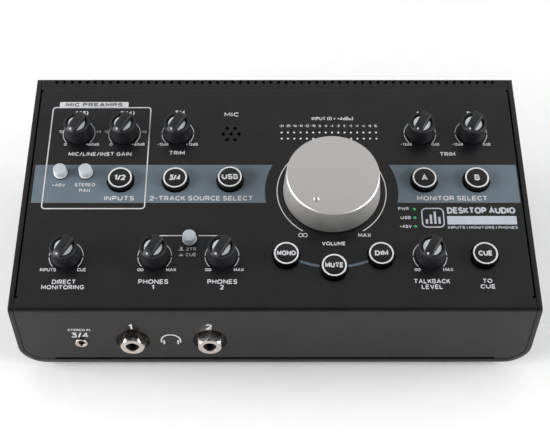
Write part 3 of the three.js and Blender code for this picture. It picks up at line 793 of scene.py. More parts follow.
# %% The alphabet
# Each line is a character and the strokes of a pen on a grid 6 high. A stroke is a row of
# corners x,y or x,y,radius, and LOOP marks one that closes on itself.
LOOP = "loop"
PEN_STROKES = """
A 0,0 2.5,6 5,0 | 0.9,2 4.1,2
B 0,0 0,6 3.7,6,1.4 3.7,3.2,1.4 0,3.2 | 0,3.2 4.1,3.2,1.5 4.1,0,1.5 0,0
C 4.4,4.9 3.6,6,0.9 0,6,2.8 0,0,2.8 3.6,0,0.9 4.4,1.1
D loop 0,0 4.8,0,2.9 4.8,6,2.9 0,6
E 3.8,6 0,6 0,0 3.8,0 | 0,3 3.4,3
F 3.6,6 0,6 0,0 | 0,3 3.2,3
G 4.6,4.9 3.8,6,0.9 0,6,2.8 0,0,2.8 4.8,0,1.9 4.8,2.8 2.8,2.8
H 0,0 0,6 | 4.4,0 4.4,6 | 0,3 4.4,3
I 0,0 0,6
K 0,0 0,6 | 4,6 0.2,2.4 | 1.5,3.6 4.2,0
L 0,6 0,0 3.6,0
M 0,0 0,6 2.7,1.6 5.4,6 5.4,0
N 0,0 0,6 4.6,0 4.6,6
O loop 0,0,2.79 5.6,0,2.79 5.6,6,2.79 0,6,2.79
P 0,0 0,6 4,6,1.65 4,2.6,1.65 0,2.6
R 0,0 0,6 4,6,1.65 4,2.6,1.65 0,2.6 | 2.2,2.6 4.2,0
S 3.8,5.2 3,6,0.7 0.1,6,1.45 0.1,3,1.45 3.9,3,1.45 3.9,0,1.45 0.8,0,0.7 0,0.9
T 0,6 4.6,6 | 2.3,6 2.3,0
U 0,6 0,0,2.39 4.8,0,2.39 4.8,6
V 0,6 2.5,0 5,6
W 0,6 1.85,0 3.7,5.4 5.55,0 7.4,6
X 0,0 4.6,6 | 0,6 4.6,0
d loop 0,0,1.7 3.6,0,1.7 3.6,3.8,1.7 0,3.8,1.7 | 3.6,0 3.6,6
u 0,3.8 0,0,1.5 3.2,0,1.5 3.2,3.8
0 loop 0,0,1.95 4,0,1.95 4,6,1.95 0,6,1.95
1 0,4.7 1.8,6 1.8,0
2 0.1,4.7 0.1,6,1.2 3.8,6,1.6 3.8,3.6,1.2 0,0 4,0
3 0.2,6 3.6,6 1.9,3.7 3.9,3.5,1.2 3.9,0,1.7 0,0,1 0,1.1
4 3.2,0 3.2,6 0,1.6 4.4,1.6
6 loop 0,0,1.8 3.9,0,1.8 3.9,3.7,1.8 0,3.7,1.8 | 3,6 0.5,3.1
8 loop 0.2,3.2,1.35 3.6,3.2,1.35 3.6,6,1.35 0.2,6,1.35 | loop 0,0,1.55 3.8,0,1.55 3.8,3.2,1.55 0,3.2,1.55
+ 0,3 3,3 | 1.5,1.5 1.5,4.5
- 0,3 2.4,3
= 0,2 3,2 | 0,4 3,4
/ 0,-0.4 2.6,6.4
( 1.4,6.6 0,4.6,1.5 0,1.4,1.5 1.4,-0.6
) 0,6.6 1.4,4.6,1.5 1.4,1.4,1.5 0,-0.6
| 0,-0.6 0,6.6
"""


def read_stroke(words):
    """Whether a stroke closes on itself, and its corners."""
    corners = [tuple(float(part) for part in word.split(",")) for word in words if word != LOOP]
    return words[0] == LOOP, corners


GLYPHS = {line[0]: [read_stroke(drawn.split()) for drawn in line[2:].split(" | ")]
          for line in PEN_STROKES.strip().splitlines()}
GLYPH_HEIGHT, LETTER_GAP, WORD_GAP = 6.0, 2.3, 2.6

# %% Lettering
INK = 0.07
BAND_INK_DEPTH = 0.03


def ribbon(path, width, closed):
    """A pen stroke: a band of even width and of the ink's thickness along a path."""
    points = [Vector(point) for point in path]
    count, rows = len(points), []
    for index, point in enumerate(points):
        before = points[index - 1] if closed or index else point
        after = points[(index + 1) % count] if closed or index < count - 1 else point
        back, ahead = (point - before).normalized(), (after - point).normalized()
        along = (back + ahead).normalized()
        reach = min(1 / max(along.dot(ahead if ahead.length else back), 0.4), 2.2)
        side = Vector((-along.y, along.x)) * reach * width / 2
        left, right = point + side, point - side
        rows.append([(*left, 0), (*right, 0), (*right, INK), (*left, INK)])
    corners = [corner for row in rows for corner in row]
    faces = []
    for index in range(count if closed else count - 1):
        low, high = 4 * index, 4 * ((index + 1) % count)
        faces += [(low + i, high + i, high + (i + 1) % 4, low + (i + 1) % 4) for i in range(4)]
    if not closed:
        faces += [(0, 1, 2, 3), tuple(4 * count - 1 - i for i in range(4))]
    return corners, faces


def lettering(text, x, y, width, height, weight=0.19):
    """A word in pen strokes, fitted to a width and height about its middle."""
    pen, strokes = 0.0, []
    for letter in text:
        if letter == " ":
            pen += WORD_GAP
            continue
        for closed, corners in GLYPHS[letter]:
            path = rounded(corners, closed, steps=5)
            strokes.append(([(px + pen, py) for px, py in path], closed))
        pen += max(corner[0] for closed, corners in GLYPHS[letter] for corner in corners) + LETTER_GAP
    long = max(pen - LETTER_GAP, 0.01)
    line = height * weight
    scale_y = (height - line) / GLYPH_HEIGHT
    scale_x = (width - line) / long if width else scale_y
    points, faces = [], []
    for path, closed in strokes:
        fitted = [(x + (px - long / 2) * scale_x, y + (py - GLYPH_HEIGHT / 2) * scale_y)
                  for px, py in path]
        corners, sides = ribbon(fitted, line, closed)
        faces += [tuple(i + len(points) for i in side) for side in sides]
        points += corners
    return points, faces


def stroke(outline):
    return prism(outline, 0, INK)


def bars(ink, *boxes):
    """Bars of ink, each given as middle x, middle y, width, height and perhaps a radius."""
    return one_finish(ink, *(stroke(bar(*box)) for box in boxes))


def words(ink, *rows):
    """Words in ink, each given as text, middle x, middle y, width, height and perhaps a weight."""
    return one_finish(ink, *(lettering(*row) for row in rows))


# %% Frame lines, arcs and the band
BAND = (68.0, 93.9, 38.4)
BAND_END = {-1: 139.6, 1: 140.5}
LINE = 0.7
print_white, print_band = [], []


def band_half(side):
    """Half of the coloured band, which stops at a circle about the volume knob."""
    low, high, clear = BAND
    turns = [math.asin((v - volume_at.y) / clear) for v in np.linspace(low, high, 25)]
    inner = [(volume_at.x + side * clear * math.cos(t), volume_at.y + clear * math.sin(t))
             for t in turns]
    end = side * BAND_END[side]
    rim = [(end, high), (end, low)] + inner
    inside = [circle(at.x, at.y, radius, 64)
              for points, radius in ((button_at, BUTTON_HOLE), (cap_at, CAP_HOLE))
              for at in points.values() if low < at.y < high and at.x * side > volume_at.x * side]
    return flat([rim] + inside, 0, BAND_INK_DEPTH)


for side in (-1, 1):
    print_band.append((band_half(side), BAND_INK))

SWITCH_ORBIT = (button_at["button_mute"] - volume_at).length
for start, end in ((-112.7, -99.3), (-80.7, -67.3)):
    link = arc_band(volume_at.x, volume_at.y, SWITCH_ORBIT - 0.6, 1.5, start, end)
    print_band.append((stroke(link), BAND_INK))


def knob_scale(at, breaks):
    """The two arcs beside a small knob, broken where numbers stand."""
    radius, first, last = 9.4, -42, 222
    edges = [first, *breaks, last]
    spans = zip(edges[::2], edges[1::2])
    return [stroke(arc_band(at.x, at.y, radius, 0.5, start, end, 24)) for start, end in spans]


GAIN_BREAKS, SCALE_BREAKS = (60, 120), (-4, 3, 60, 120, 177, 184)
for name, at in knob_at.items():
    breaks = GAIN_BREAKS if name.startswith("gain") else SCALE_BREAKS
    print_white += one_finish(WHITE_INK, *knob_scale(at, breaks))

VOLUME_CIRCLE, VOLUME_GAP = 31.35, 32.7
volume_ring = arc_band(volume_at.x, volume_at.y, VOLUME_CIRCLE, 0.55,
                       -90 + VOLUME_GAP, 270 - VOLUME_GAP, 160)
print_white.append((stroke(volume_ring), WHITE_INK))


def frame_line(left, right, low, high, radius):
    """A rounded frame drawn with one line."""
    x, y, width, height = (left + right) / 2, (low + high) / 2, right - left, high - low
    inner = bar(x, y, width - 2 * LINE, height - 2 * LINE, radius - LINE)
    return flat([bar(x, y, width, height, radius), inner], 0, INK)


BOX = (-133.6, -74.2, 63.8, 135.4)
print_white.append((frame_line(*BOX, 2.2), WHITE_INK))
print_white += bars(WHITE_INK, (-108.9, 137.2, 41.4, 4.0, 0.8))
on_label = lettering("MIC PREAMPS", -108.9, 137.2, 34.0, 2.6, 0.2)
print_white.append((shifted(on_label, 0, 0, INK), DARK_INK))
print_white += bars(WHITE_INK, (-58.6, 46.4, 12.8, 0.6), (-35.6, 46.4, 14.9, 0.6))

# %% Words on the top panel
# Each word has its middle x, its middle y up the panel, its width and its height.
WORDS = [
    ("MIC/LINE/INST GAIN", -102.7, 101.5, 36.9, 2.6), ("TRIM", -57.6, 102.3, 9.2, 2.7),
    ("TRIM", 101.3, 101.5, 9.0, 2.7), ("+48V", -124.9, 80.0, 7.8, 2.1),
    ("STEREO", -109.7, 80.2, 11.8, 2.2), ("PAN", -109.6, 76.3, 6.2, 2.2),
    ("INPUTS", -89.4, 71.1, 17.0, 3.0), ("2-TRACK SOURCE SELECT", -42.3, 71.1, 59.2, 3.1),
    ("MONITOR SELECT", 101.6, 71.1, 40.4, 3.1), ("DIRECT", -116.0, 17.3, 13.0, 2.7),
    ("MONITORING", -116.4, 14.0, 23.4, 2.6), ("PHONES", -67.0, 17.4, 16.4, 2.8),
    ("1", -67.0, 14.0, None, 2.8), ("PHONES", -29.1, 17.4, 16.4, 2.8), ("2", -29.2, 14.0, None, 2.8),
    ("TALKBACK", 86.1, 17.6, 20.0, 2.7), ("LEVEL", 86.0, 14.2, 11.6, 2.7),
    ("TO", 116.6, 17.8, 5.2, 2.6),
    ("CUE", 116.6, 14.4, 8.2, 2.6), ("VOLUME", 32.8, 41.3, 13.2, 2.4), ("MAX", 50.3, 46.7, 7.2, 2.4),
    ("MIC", -26.0, 130.0, 8.6, 3.0), ("INPUT (0 = +4dBu)", 34.4, 127.0, 24.8, 2.4),
    ("1 (3)", -115.9, 131.0, 7.7, 2.8), ("2 (4)", -88.4, 131.0, 8.4, 2.8),
    ("3/4", -57.0, 131.4, 6.2, 2.8),
    ("A", 85.8, 130.8, None, 2.8), ("B", 116.4, 130.8, None, 2.8),
    ("PWR", 73.2, 64.1, 6.0, 2.0), ("USB", 74.1, 58.2, 5.8, 2.0), ("+48V", 73.8, 52.4, 6.8, 2.0),
    ("2TR", -46.9, 37.8, 5.6, 2.1), ("CUE", -46.9, 34.3, 5.8, 2.1),
    ("INPUTS", -125.5, 24.8, 8.8, 2.1), ("CUE", -106.9, 24.8, 5.0, 2.1),
]
SCALE_ENDS = {
    "gain_knob_1": ("0", "+60dB"), "gain_knob_2": ("0", "+60dB"), "trim_knob_34": ("-12dB", "+12dB"),
    "trim_knob_a": ("-12dB", "0dB"), "trim_knob_b": ("-12dB", "0dB"),
}
SCALE_WIDTHS = {"0": 1.7, "+60dB": 7.6, "-12dB": 6.6, "+12dB": 7.0, "0dB": 4.6}
for name, ends in SCALE_ENDS.items():
    for word, side in zip(ends, (-1, 1)):
        away = 7.4 if word == "0" else 8.6
        WORDS.append((word, knob_at[name].x + side * away, 108.4, SCALE_WIDTHS[word], 1.9))
for name in ("gain_knob_1", "gain_knob_2"):
    WORDS.append(("10", knob_at[name].x - 10.8, 117.4, 2.6, 1.9))
    WORDS.append(("40", knob_at[name].x + 11.5, 117.4, 3.0, 1.9))
for name in ("phones_knob_1", "phones_knob_2", "talkback_knob"):
    WORDS.append(("MAX", knob_at[name].x + 9.5, 24.8, 5.6, 2.0))

METER_NUMBERS = "-24 -20 -16 -14 -12 -10 -8 -6 -4 -2 0 +2 +4 +6 +8 OL".split()
for index, word in enumerate(METER_NUMBERS):
    x = meter_x[0] + index * (meter_x[1] - meter_x[0]) / (METER_COLUMNS - 1)
    WORDS.append((word, x, 121.7, 0.95 * len(word), 1.7))

print_white += words(WHITE_INK, *WORDS)
print("words on the top panel:", len(WORDS))


# %% Signs on the top panel
def endless(x, y, size):
    """The sign for endless quiet: two small rings side by side."""
    rings = [[circle(x + side * size, y, radius, 28) for radius in (size, size - 0.42)]
             for side in (-0.93, 0.93)]
    return one_finish(WHITE_INK, *(flat(ring, 0, INK) for ring in rings))


print_white += endless(15.6, 46.7, 1.35)
for name in ("phones_knob_1", "phones_knob_2", "talkback_knob"):
    print_white += endless(knob_at[name].x - 7.5, 24.8, 0.9)

# Small signs for the push cap's two states: standing out, and pressed in.
print_white += bars(WHITE_INK, (-52.4, 37.0, 2.8, 0.5), (-52.4, 38.2, 1.3, 1.9),
                    (-52.4, 33.6, 2.8, 0.5), (-52.4, 34.3, 1.3, 0.9))

# A plain level-bars sign and plain words take the place of the maker's block.
SIGN = (89.6, 58.1)
print_white.append((flat([bar(*SIGN, 13, 13, 3), bar(*SIGN, 11.6, 11.6, 2.3)], 0, INK), GREY_INK))
print_white += bars(GREY_INK, *(
    (SIGN[0] - 3.6 + 2.4 * step, SIGN[1] - 4 + tall / 2, 1.3, tall)
    for step, tall in enumerate((3.0, 6.0, 8.0, 4.5))))
print_white += words(GREY_INK, ("DESKTOP AUDIO", 117.4, 62.9, 39.0, 4.2, 0.24))
print_white += bars(GREY_INK, (117.3, 56.4, 39.4, 5.5))
print_white += words(GREY_INK, ("INPUTS | MONITORS | PHONES", 117.3, 51.7, 39.4, 1.8, 0.2))

piece("panel_printing", "chassis", print_white, TOP)
piece("panel_band", "chassis", print_band, TOP)

# %% Printing on the front
front_ink = words(
    WHITE_INK, ("1", -80.0, 38.0, None, 4.8), ("2", -36.6, 38.0, None, 4.8),
    ("STEREO IN", -108.7, 35.2, 12.4, 1.9), ("3/4", -108.7, 30.3, 9.6, 4.6))
SET_X, SET_Z = -58.4, 25.2
front_ink.append((stroke(arc_band(SET_X, SET_Z, 5.3, 0.9, 0, 180)), WHITE_INK))
for side in (-1, 1):
    front_ink += bars(WHITE_INK, (SET_X + side * 5.3, SET_Z - 1.1, 0.9, 2.2),
                      (SET_X + side * 3.9, SET_Z - 1.9, 1.0, 3.8, 0.3))
piece("front_printing", "chassis", front_ink, FRONT)

# %% Printing on the rear
REAR_WORDS = ["INPUT 1", "INPUT 2", "L IN 3", "R IN 4", "A LEFT", "A RIGHT", "B LEFT", "B RIGHT",
              "USB", "12V DC", "POWER"]
rear_at = zip(REAR_WORDS, [*combo_at, *line_at, usb_at, dc_at, power_at])
rear_ink = words(WHITE_INK, *((word, at.x, at.y + 19, 1.35 * len(word), 2.1) for word, at in rear_at))
for first, word in ((0, "LINE INPUTS"), (2, "MONITORS A"), (4, "MONITORS B")):
    centre = (line_at[first] + line_at[first + 1]) / 2
    rear_ink += words(WHITE_INK, (word, centre.x, centre.y - 13, 22, 2.1))
piece("rear_printing", "chassis", rear_ink, REAR)

# %% [markdown]
# ## The volume knob
#
# One lathe profile gives the tapered wall, the turned edge and the recessed underside.
# The finger dimple is cut by a small ball, because a dent off the axis cannot be turned.

# %% Turn the volume knob
POINTER_REST = math.radians(-30)
VOLUME_TOP = 18.2
VOLUME_PROFILE = rounded([
    (0, 1.2), (24.6, 1.2), (24.8, 1.0), (27.9, 1.0, 0.25), (26.3, 17.6, 0.1),
    (25.75, VOLUME_TOP, 0.1), (0, VOLUME_TOP),
], closed=False, steps=4)
DIMPLE_ORBIT, DIMPLE_BALL, DIMPLE_RISE = 19.4, 2.0, 1.0


def dimpled(shape):
    """The knob with a round dent near its rim."""
    body, ball = (bpy.data.objects.new(name, bpy.data.meshes.new(name)) for name in ("body", "ball"))
    body.data.from_pydata(shape[0], [], shape[1])
    sphere = bmesh.new()
    bmesh.ops.create_icosphere(sphere, subdivisions=4, radius=DIMPLE_BALL)
    bmesh.ops.translate(sphere, verts=sphere.verts, vec=(0, -DIMPLE_ORBIT, VOLUME_TOP + DIMPLE_RISE))
    sphere.to_mesh(ball.data)
    sphere.free()
    bpy.context.collection.objects.link(ball)
    cut = body.modifiers.new("dimple", "BOOLEAN")
    cut.operation, cut.object, cut.solver = "DIFFERENCE", ball, "EXACT"
    dented = as_shape(as_mesh(body))
    bpy.data.objects.remove(ball)
    return dented


at_volume = Matrix.Translation(volume_at) @ Matrix.Rotation(POINTER_REST, 4, "Z")
volume_shape = moved(dimpled(lathe(VOLUME_PROFILE, 192)), at_volume)
piece("volume_knob_metal", "volume_knob", [(volume_shape, SATIN)], TOP, ["volume_knob"],
      sharp=24)

# %% [markdown]
# ## Small knobs
#
# A small knob is a tapered cup with a pale inlay in its floor and a grip blade across it. The
# blade is lofted along its length: it rises from the pointer end and widens a little towards
# the far end. A white dot marks the pointer.

# %% Shape of a small knob
CUP = rounded([
    (0, 1.0), (8.1, 1.0, 0.2), (8.05, 1.8, 0.4), (7.5, 10.6, 0.4), (7.4, 11.3, 0.4),
    (5.95, 11.3, 0.35), (5.6, 10.2, 0.25), (0, 10.2),
], closed=False, steps=4)
INLAY_DISC = rounded([(0, 10.2), (5.0, 10.2), (5.0, 10.6, 0.12), (0, 10.6)], closed=False)
# Across the blade from the dot's end to the other: how far along, half width and height.
BLADE = [
    (-7.0, 1.95, 11.1), (-6.75, 2.20, 11.5), (-6.0, 2.35, 12.2), (-5.0, 2.40, 12.9), (-3.6, 2.42, 13.4),
    (-1.8, 2.45, 13.75), (0.5, 2.50, 13.85), (2.8, 2.60, 13.85), (4.8, 2.70, 13.8), (6.0, 2.75, 13.6),
    (6.7, 2.70, 13.1), (7.05, 2.45, 12.4),
]


def blade_row(y, half, top):
    """One cross-section of the grip blade."""
    foot = half + 0.45
    section = rounded([(-foot, 9.6), (foot, 9.6), (half, top, 0.6), (-half, top, 0.6)], steps=4)
    return [(x, y, z) for x, z in section]


def pointer_dot():
    """The white dot, lying on the blade's sloping end."""
    disc = lathe(rounded([(0, -0.3), (0.62, -0.3), (0.62, 0.0, 0.05), (0, 0.06)], closed=False), 32)
    lean = Matrix.Rotation(math.radians(38), 4, "X")
    return moved(disc, Matrix.Translation((0, -5.75, 12.42)) @ lean)


blade = loft([blade_row(*station)[::-1] for station in BLADE])
SMALL_KNOB = [(lathe(CUP, 96), KNOB_PLASTIC), (lathe(INLAY_DISC, 72), INLAY), (blade, KNOB_PLASTIC),
              (pointer_dot(), GREY_INK)]

# %% Place the small knobs
for name, at in knob_at.items():
    place = Matrix.Translation(at) @ Matrix.Rotation(POINTER_REST, 4, "Z")
    piece(f"{name}_moulding", name, placed(SMALL_KNOB, place), TOP, [name])

# %% [markdown]
# ## Buttons and push caps
#
# A button is a black cap with a pale ring set into its top and a word printed inside the ring.
# The push caps are taller, with a collar at the foot.

# %% Round buttons
BUTTON_TOP, RING_IN, RING_OUT = 3.8, 6.0, 6.9
FACE, GROOVE = BUTTON_TOP - 0.12, BUTTON_TOP - 0.4
BUTTON_CAP = rounded([
    (0, -3.6), (8.4, -3.6), (8.4, -2.6), (7.1, -2.6), (7.1, BUTTON_TOP, 0.3), (RING_OUT, BUTTON_TOP),
    (RING_OUT, GROOVE), (RING_IN, GROOVE), (RING_IN, FACE, 0.05), (0, FACE),
], closed=False, steps=4)
BUTTON_RING = rounded([
    (RING_IN, GROOVE), (RING_OUT, GROOVE), (RING_OUT, BUTTON_TOP + 0.02, 0.12),
    (RING_IN, BUTTON_TOP + 0.02, 0.12),
], steps=3)
WORD_SIZES = {
    "1/2": (6.6, 3.7), "3/4": (6.8, 3.7), "USB": (9.4, 3.6), "A": (None, 3.9), "B": (None, 3.9),
    "MONO": (10.6, 3.0), "MUTE": (10.2, 3.2), "DIM": (7.4, 3.2), "CUE": (7.8, 3.2),
}

for name, word in BUTTON_WORDS.items():
    lift = measure(name, TOP)[1].z - BUTTON_TOP
    letters = shifted(lettering(word, 0, 0, *WORD_SIZES[word], 0.24), 0, 0, FACE)
    parts = [(lathe(BUTTON_CAP, 96), BUTTON_PLASTIC), (lathe(BUTTON_RING, 96, ring=True), RING_LENS),
             (letters, WHITE_INK)]
    piece(f"{name}_cap", name, laid(parts, button_at[name], lift), TOP, [name])

# %% Push caps
CAP_TOP = rounded([(0, 1.2), (3.7, 1.2), (3.7, 5.2, 0.55), (0, 5.2)], closed=False, steps=5)
CAP_COLLAR = rounded([
    (0, -4.6), (2.2, -4.6), (2.2, 0.2), (4.1, 0.2, 0.15), (4.1, 1.35, 0.3), (0, 1.35),
], closed=False, steps=4)
PUSH_CAP = [(lathe(CAP_TOP, 72), PALE_PLASTIC), (lathe(CAP_COLLAR, 72), WHITE_INK)]
for name, at in cap_at.items():
    piece(f"{name}_moulding", name, laid(PUSH_CAP, at), TOP, [name])

# %% [markdown]
# ## What repeats: a Geometry Nodes grid
#
# The meter's 32 dots, the four feet and the rows of screws are each one item repeated on a
# grid. One tree does them all: it takes the item as its geometry, makes a grid of points from
# named counts and pitches, puts an instance on each point and realises them.


# %% Build the grid tree
def grid_tree():
    """A Geometry Nodes tree that repeats its input on a grid of points."""
    tree = bpy.data.node_groups.new("repeat_on_grid", "GeometryNodeTree")
    face = tree.interface
    face.new_socket("Item", in_out="INPUT", socket_type="NodeSocketGeometry")
    for label, kind in (("Columns", "Int"), ("Rows", "Int"), ("Pitch X", "Float"),
                        ("Pitch Y", "Float"), ("Finish", "Material")):
        face.new_socket(label, in_out="INPUT", socket_type=f"NodeSocket{kind}")
    face.new_socket("Geometry", in_out="OUTPUT", socket_type="NodeSocketGeometry")
    inside, outside = tree.nodes.new("NodeGroupInput"), tree.nodes.new("NodeGroupOutput")
    grid = tree.nodes.new("GeometryNodeMeshGrid")
    place = tree.nodes.new("GeometryNodeInstanceOnPoints")
    real = tree.nodes.new("GeometryNodeRealizeInstances")
    dress = tree.nodes.new("GeometryNodeSetMaterial")
    link = tree.links.new
    for count, pitch, side in (("Columns", "Pitch X", "X"), ("Rows", "Pitch Y", "Y")):
        gaps = tree.nodes.new("ShaderNodeMath")
        gaps.operation = "SUBTRACT"
        gaps.inputs[1].default_value = 1
        span = tree.nodes.new("ShaderNodeMath")
        span.operation = "MULTIPLY"
        link(inside.outputs[count], gaps.inputs[0])
        link(gaps.outputs[0], span.inputs[0])
        link(inside.outputs[pitch], span.inputs[1])
        link(span.outputs[0], grid.inputs[f"Size {side}"])
        link(inside.outputs[count], grid.inputs[f"Vertices {side}"])
    link(grid.outputs["Mesh"], place.inputs["Points"])
    link(inside.outputs["Item"], place.inputs["Instance"])
    link(place.outputs["Instances"], real.inputs["Geometry"])
    link(real.outputs["Geometry"], dress.inputs["Geometry"])
    link(inside.outputs["Finish"], dress.inputs["Material"])
    link(dress.outputs["Geometry"], outside.inputs["Geometry"])
    return tree


GRID = grid_tree()


def on_grid(shape, columns, rows, pitch_x, pitch_y, finish):
    """A shape repeated about its own middle, as points and faces."""
    mesh = bpy.data.meshes.new("item")
    mesh.from_pydata(shape[0], [], shape[1])
    thing = bpy.data.objects.new("item", mesh)
    modifier = thing.modifiers.new("grid", "NODES")
    modifier.node_group = GRID
    values = {"Columns": columns, "Rows": rows, "Pitch X": float(pitch_x),
              "Pitch Y": float(pitch_y), "Finish": finish}
    for item in GRID.interface.items_tree:
        if item.item_type == "SOCKET" and item.in_out == "INPUT" and item.name in values:
            modifier[item.identifier] = values[item.name]
    return as_shape(as_mesh(thing))


# %% Meter dots and status lights
DOT = lathe(rounded(
    [(0, -3.5), (0.62, -3.5), (0.62, 0.05, 0.15), (0, 0.09)], closed=False, steps=3), 20)
meter_pitch = (meter_x[1] - meter_x[0]) / (METER_COLUMNS - 1)
dots = on_grid(DOT, METER_COLUMNS, METER_ROWS, meter_pitch, meter_v[1] - meter_v[0], METER_LENS)
dots = shifted(dots, sum(meter_x) / 2, sum(meter_v) / 2)
piece("meter_dots", "chassis", [(dots, METER_LENS)], TOP, ["meter_light_guide"])

LIGHT = lathe(rounded(
    [(0, -3.5), (0.95, -3.5), (0.95, 0.1, 0.3), (0, 0.25)], closed=False, steps=4), 28)
lights = on_grid(LIGHT, 1, 3, 1, status_v[1] - status_v[0], GREEN_LENS)
piece("status_lights", "chassis", [(shifted(lights, status_x, status_v[1]), GREEN_LENS)], TOP,
      ["status_light_guide"])

# %% Feet
FOOT = rounded([
    (0, -0.3), (8, -0.3), (8, 1.9, 0.4), (7.3, 3.3, 0.5), (3.1, 3.3, 0.3), (2.6, 1.8, 0.2), (0, 1.8),
], closed=False, steps=4)
FEET = ["foot_1", "foot_2", "foot_3", "foot_4"]
feet = [middle(name, UNDER) for name in FEET]
feet_centre = sum(feet, Vector()) / 4
pitch_x, pitch_y = (max(side) - min(side) for side in list(zip(*feet))[:2])
rubber = on_grid(lathe(FOOT, 72), 2, 2, pitch_x, pitch_y, RUBBER)
piece("rubber_feet", "chassis", laid([(rubber, RUBBER)], feet_centre), UNDER, FEET)

# %% [markdown]
# ## Nuts and sockets
#
# A hex nut is a prism whose corners are cut by a cone. Taking the smaller of the hexagon's and
# the cone's radius at each angle and height gives that shape in one rule, with the curved
# chamfer lines that a real nut has.


# %% Hex nuts
def hex_nut(across, low, high, bore, mouth, turned_by=0.0, segments=96):
    """A chamfered nut about Z, with its bore narrowed to a mouth at the outer face."""
    half = across / 2
    corner = half / math.cos(math.pi / 6)

    def reach(turn):
        return half / math.cos((turn + math.pi / 6) % (math.pi / 3) - math.pi / 6)

    rows = []
    trims = [(low, 0.0), (high - 1.9, 0.0), (high - 1.2, 0.3), (high - 0.5, 0.7), (high - 0.1, 1.0),
             (high, 1.15)]
    turns = [2 * math.pi * step / segments for step in range(segments)]
    for z, trim in trims:
        radii = [min(reach(turn), corner - trim) for turn in turns]
        rows.append([(r * math.cos(t + turned_by), r * math.sin(t + turned_by), z)
                     for r, t in zip(radii, turns)])
    inner = [(mouth + 0.35, high), (mouth, high - 0.3), (mouth, high - 1.1), (bore, high - 1.3),
             (bore, low)]
    for radius, z in inner:
        rows.append([(radius * math.cos(t), radius * math.sin(t), z) for t in turns])
    points = [point for row in rows for point in row]
    faces = []
    for level in range(len(rows)):
        low_row, high_row = level * segments, (level + 1) % len(rows) * segments
        for i in range(segments):
            j = (i + 1) % segments
            faces.append((low_row + i, low_row + j, high_row + j, high_row + i))
    return points, faces


# %% Inside a jack
def jack_inside(mouth, depth, leaf):
    """The dark tube of a jack, with two contact leaves near its mouth."""
    tube = rounded([
        (mouth + 0.9, -depth), (mouth + 0.9, 0), (mouth - 0.15, 0, 0.1), (mouth - 0.15, 0.4 - depth),
        (0, 0.4 - depth),
    ], closed=False, steps=2)
    shapes = [(lathe(tube, 64), BLACK_PLASTIC)]
    for side in (-1, 1):
        turn = Matrix.Rotation(math.radians(36 * side), 4, "Z")
        contact = shifted(prism(bar(0, 0, leaf, 0.5, 0.15), -4.5, -1.2), 0, -mouth + 0.55)
        shapes.append((moved(contact, turn), NICKEL))
    return shapes


# %% Front sockets
NUT_TURNS = (math.pi / 6, 0.0)
for number, (at, turn) in enumerate(zip(phone_at, NUT_TURNS), 1):
    low, high = measure(f"phone_nut_{number}", FRONT)
    nut = hex_nut(12.9, low.z, high.z, 4.7, 3.55, turn)
    piece(f"headphone_nut_{number}", "chassis", laid([(nut, NICKEL)], at), FRONT,
          [f"phone_nut_{number}"])
    piece(f"headphone_socket_{number}", "chassis", laid(jack_inside(3.5, 24, 1.4), at, high.z - 1.4),
          FRONT, [f"phone_jack_{number}"])

ORIGIN = Vector((0, 0, 0))
MINI_RING = rounded([
    (1.85, 0.15), (3.5, 0.15), (3.5, 1.2, 0.25), (2.6, 1.2, 0.1), (1.85, 0.7, 0.1)], steps=3)
mini = [(lathe(MINI_RING, 64, ring=True), NICKEL)] + laid(jack_inside(1.95, 11, 0.8), ORIGIN, 0.6)
piece("mini_socket", "chassis", laid(mini, mini_at), FRONT, ["mini_jack"])

# %% Rear jacks
WASHER = lathe([(4.45, 0.05), (6.6, 0.05), (6.6, 0.7), (4.45, 0.7)], 64, ring=True)
BUSHING = lathe(rounded(
    [(3.3, -24), (4.3, -24), (4.3, 3.4, 0.3), (3.3, 3.4, 0.3)], steps=3), 64, ring=True)
for number, at in enumerate(line_at, 1):
    nut = hex_nut(12.7, 0.75, 2.8, 4.4, 4.35, 0.2 * number)
    parts = one_finish(NICKEL, nut, WASHER) + [(BUSHING, BLACK_PLASTIC)]
    parts += laid(jack_inside(3.3, 24, 1.4), ORIGIN, 2)
    piece(f"rear_jack_{number}", "chassis", laid(parts, at), REAR, [f"line_jack_{number}"])

# %% Combination sockets
SCREW_HEAD = rounded(
    [(0, 0), (2.4, 0), (2.4, 0.5, 0.2), (1.7, 1.2, 0.5), (0, 1.3)], closed=False, steps=4)
FLANGE_SCREW = 0.22 / 1.3 * 1.4


def screw(x, y, base, scale):
    """A pan-head screw whose cross recess is drawn as two black bars of painted shade."""
    size = Matrix.Translation((x, y, base)) @ Matrix.Scale(scale, 4)
    # The black bars are painted shade standing for the dark hollow of the cross recess.
    cross = [prism(bar(0, 0, *arm), 1.0, 1.34) for arm in ((2.2, 0.5), (0.5, 2.2))]
    return placed([(lathe(SCREW_HEAD, 32), STEEL)] + one_finish(BLACK_PLASTIC, *cross), size)


def combo_socket():
    """The face of an XLR and jack socket: flange, ring, insert with three pin holes and a latch."""
    flange = flat([bar(0, 0, 26, 31, 3), circle(0, 0, 10.2, 72)], 0.3, 2.3, 0.25)
    wall = lathe([(10.2, -17), (11.9, -17), (11.9, 0.6), (10.2, 0.6)], 72, ring=True)
    pins = [circle(5.1 * math.cos(t), 5.1 * math.sin(t), 1.25, 24) for t in np.radians((30, 150, 270))]
    insert = flat([circle(0, 0, 7.4, 64), circle(0, 0, 3.3, 48)] + pins, -17, 1.2, 0.2)
    floor = lathe([(0, -18), (11.9, -18), (11.9, -16.9), (0, -16.9)], 64)
    latch = shifted(prism(bar(0, 0, 5.0, 2.6, 0.5), 1.2, 2.25), 0, 12.6)
    return (one_finish(BLACK_PLASTIC, flange, wall, insert, floor) + [(latch, STEEL)]
            + screw(-9.6, 12.4, 2.0, FLANGE_SCREW) + screw(9.6, -12.4, 2.0, FLANGE_SCREW))


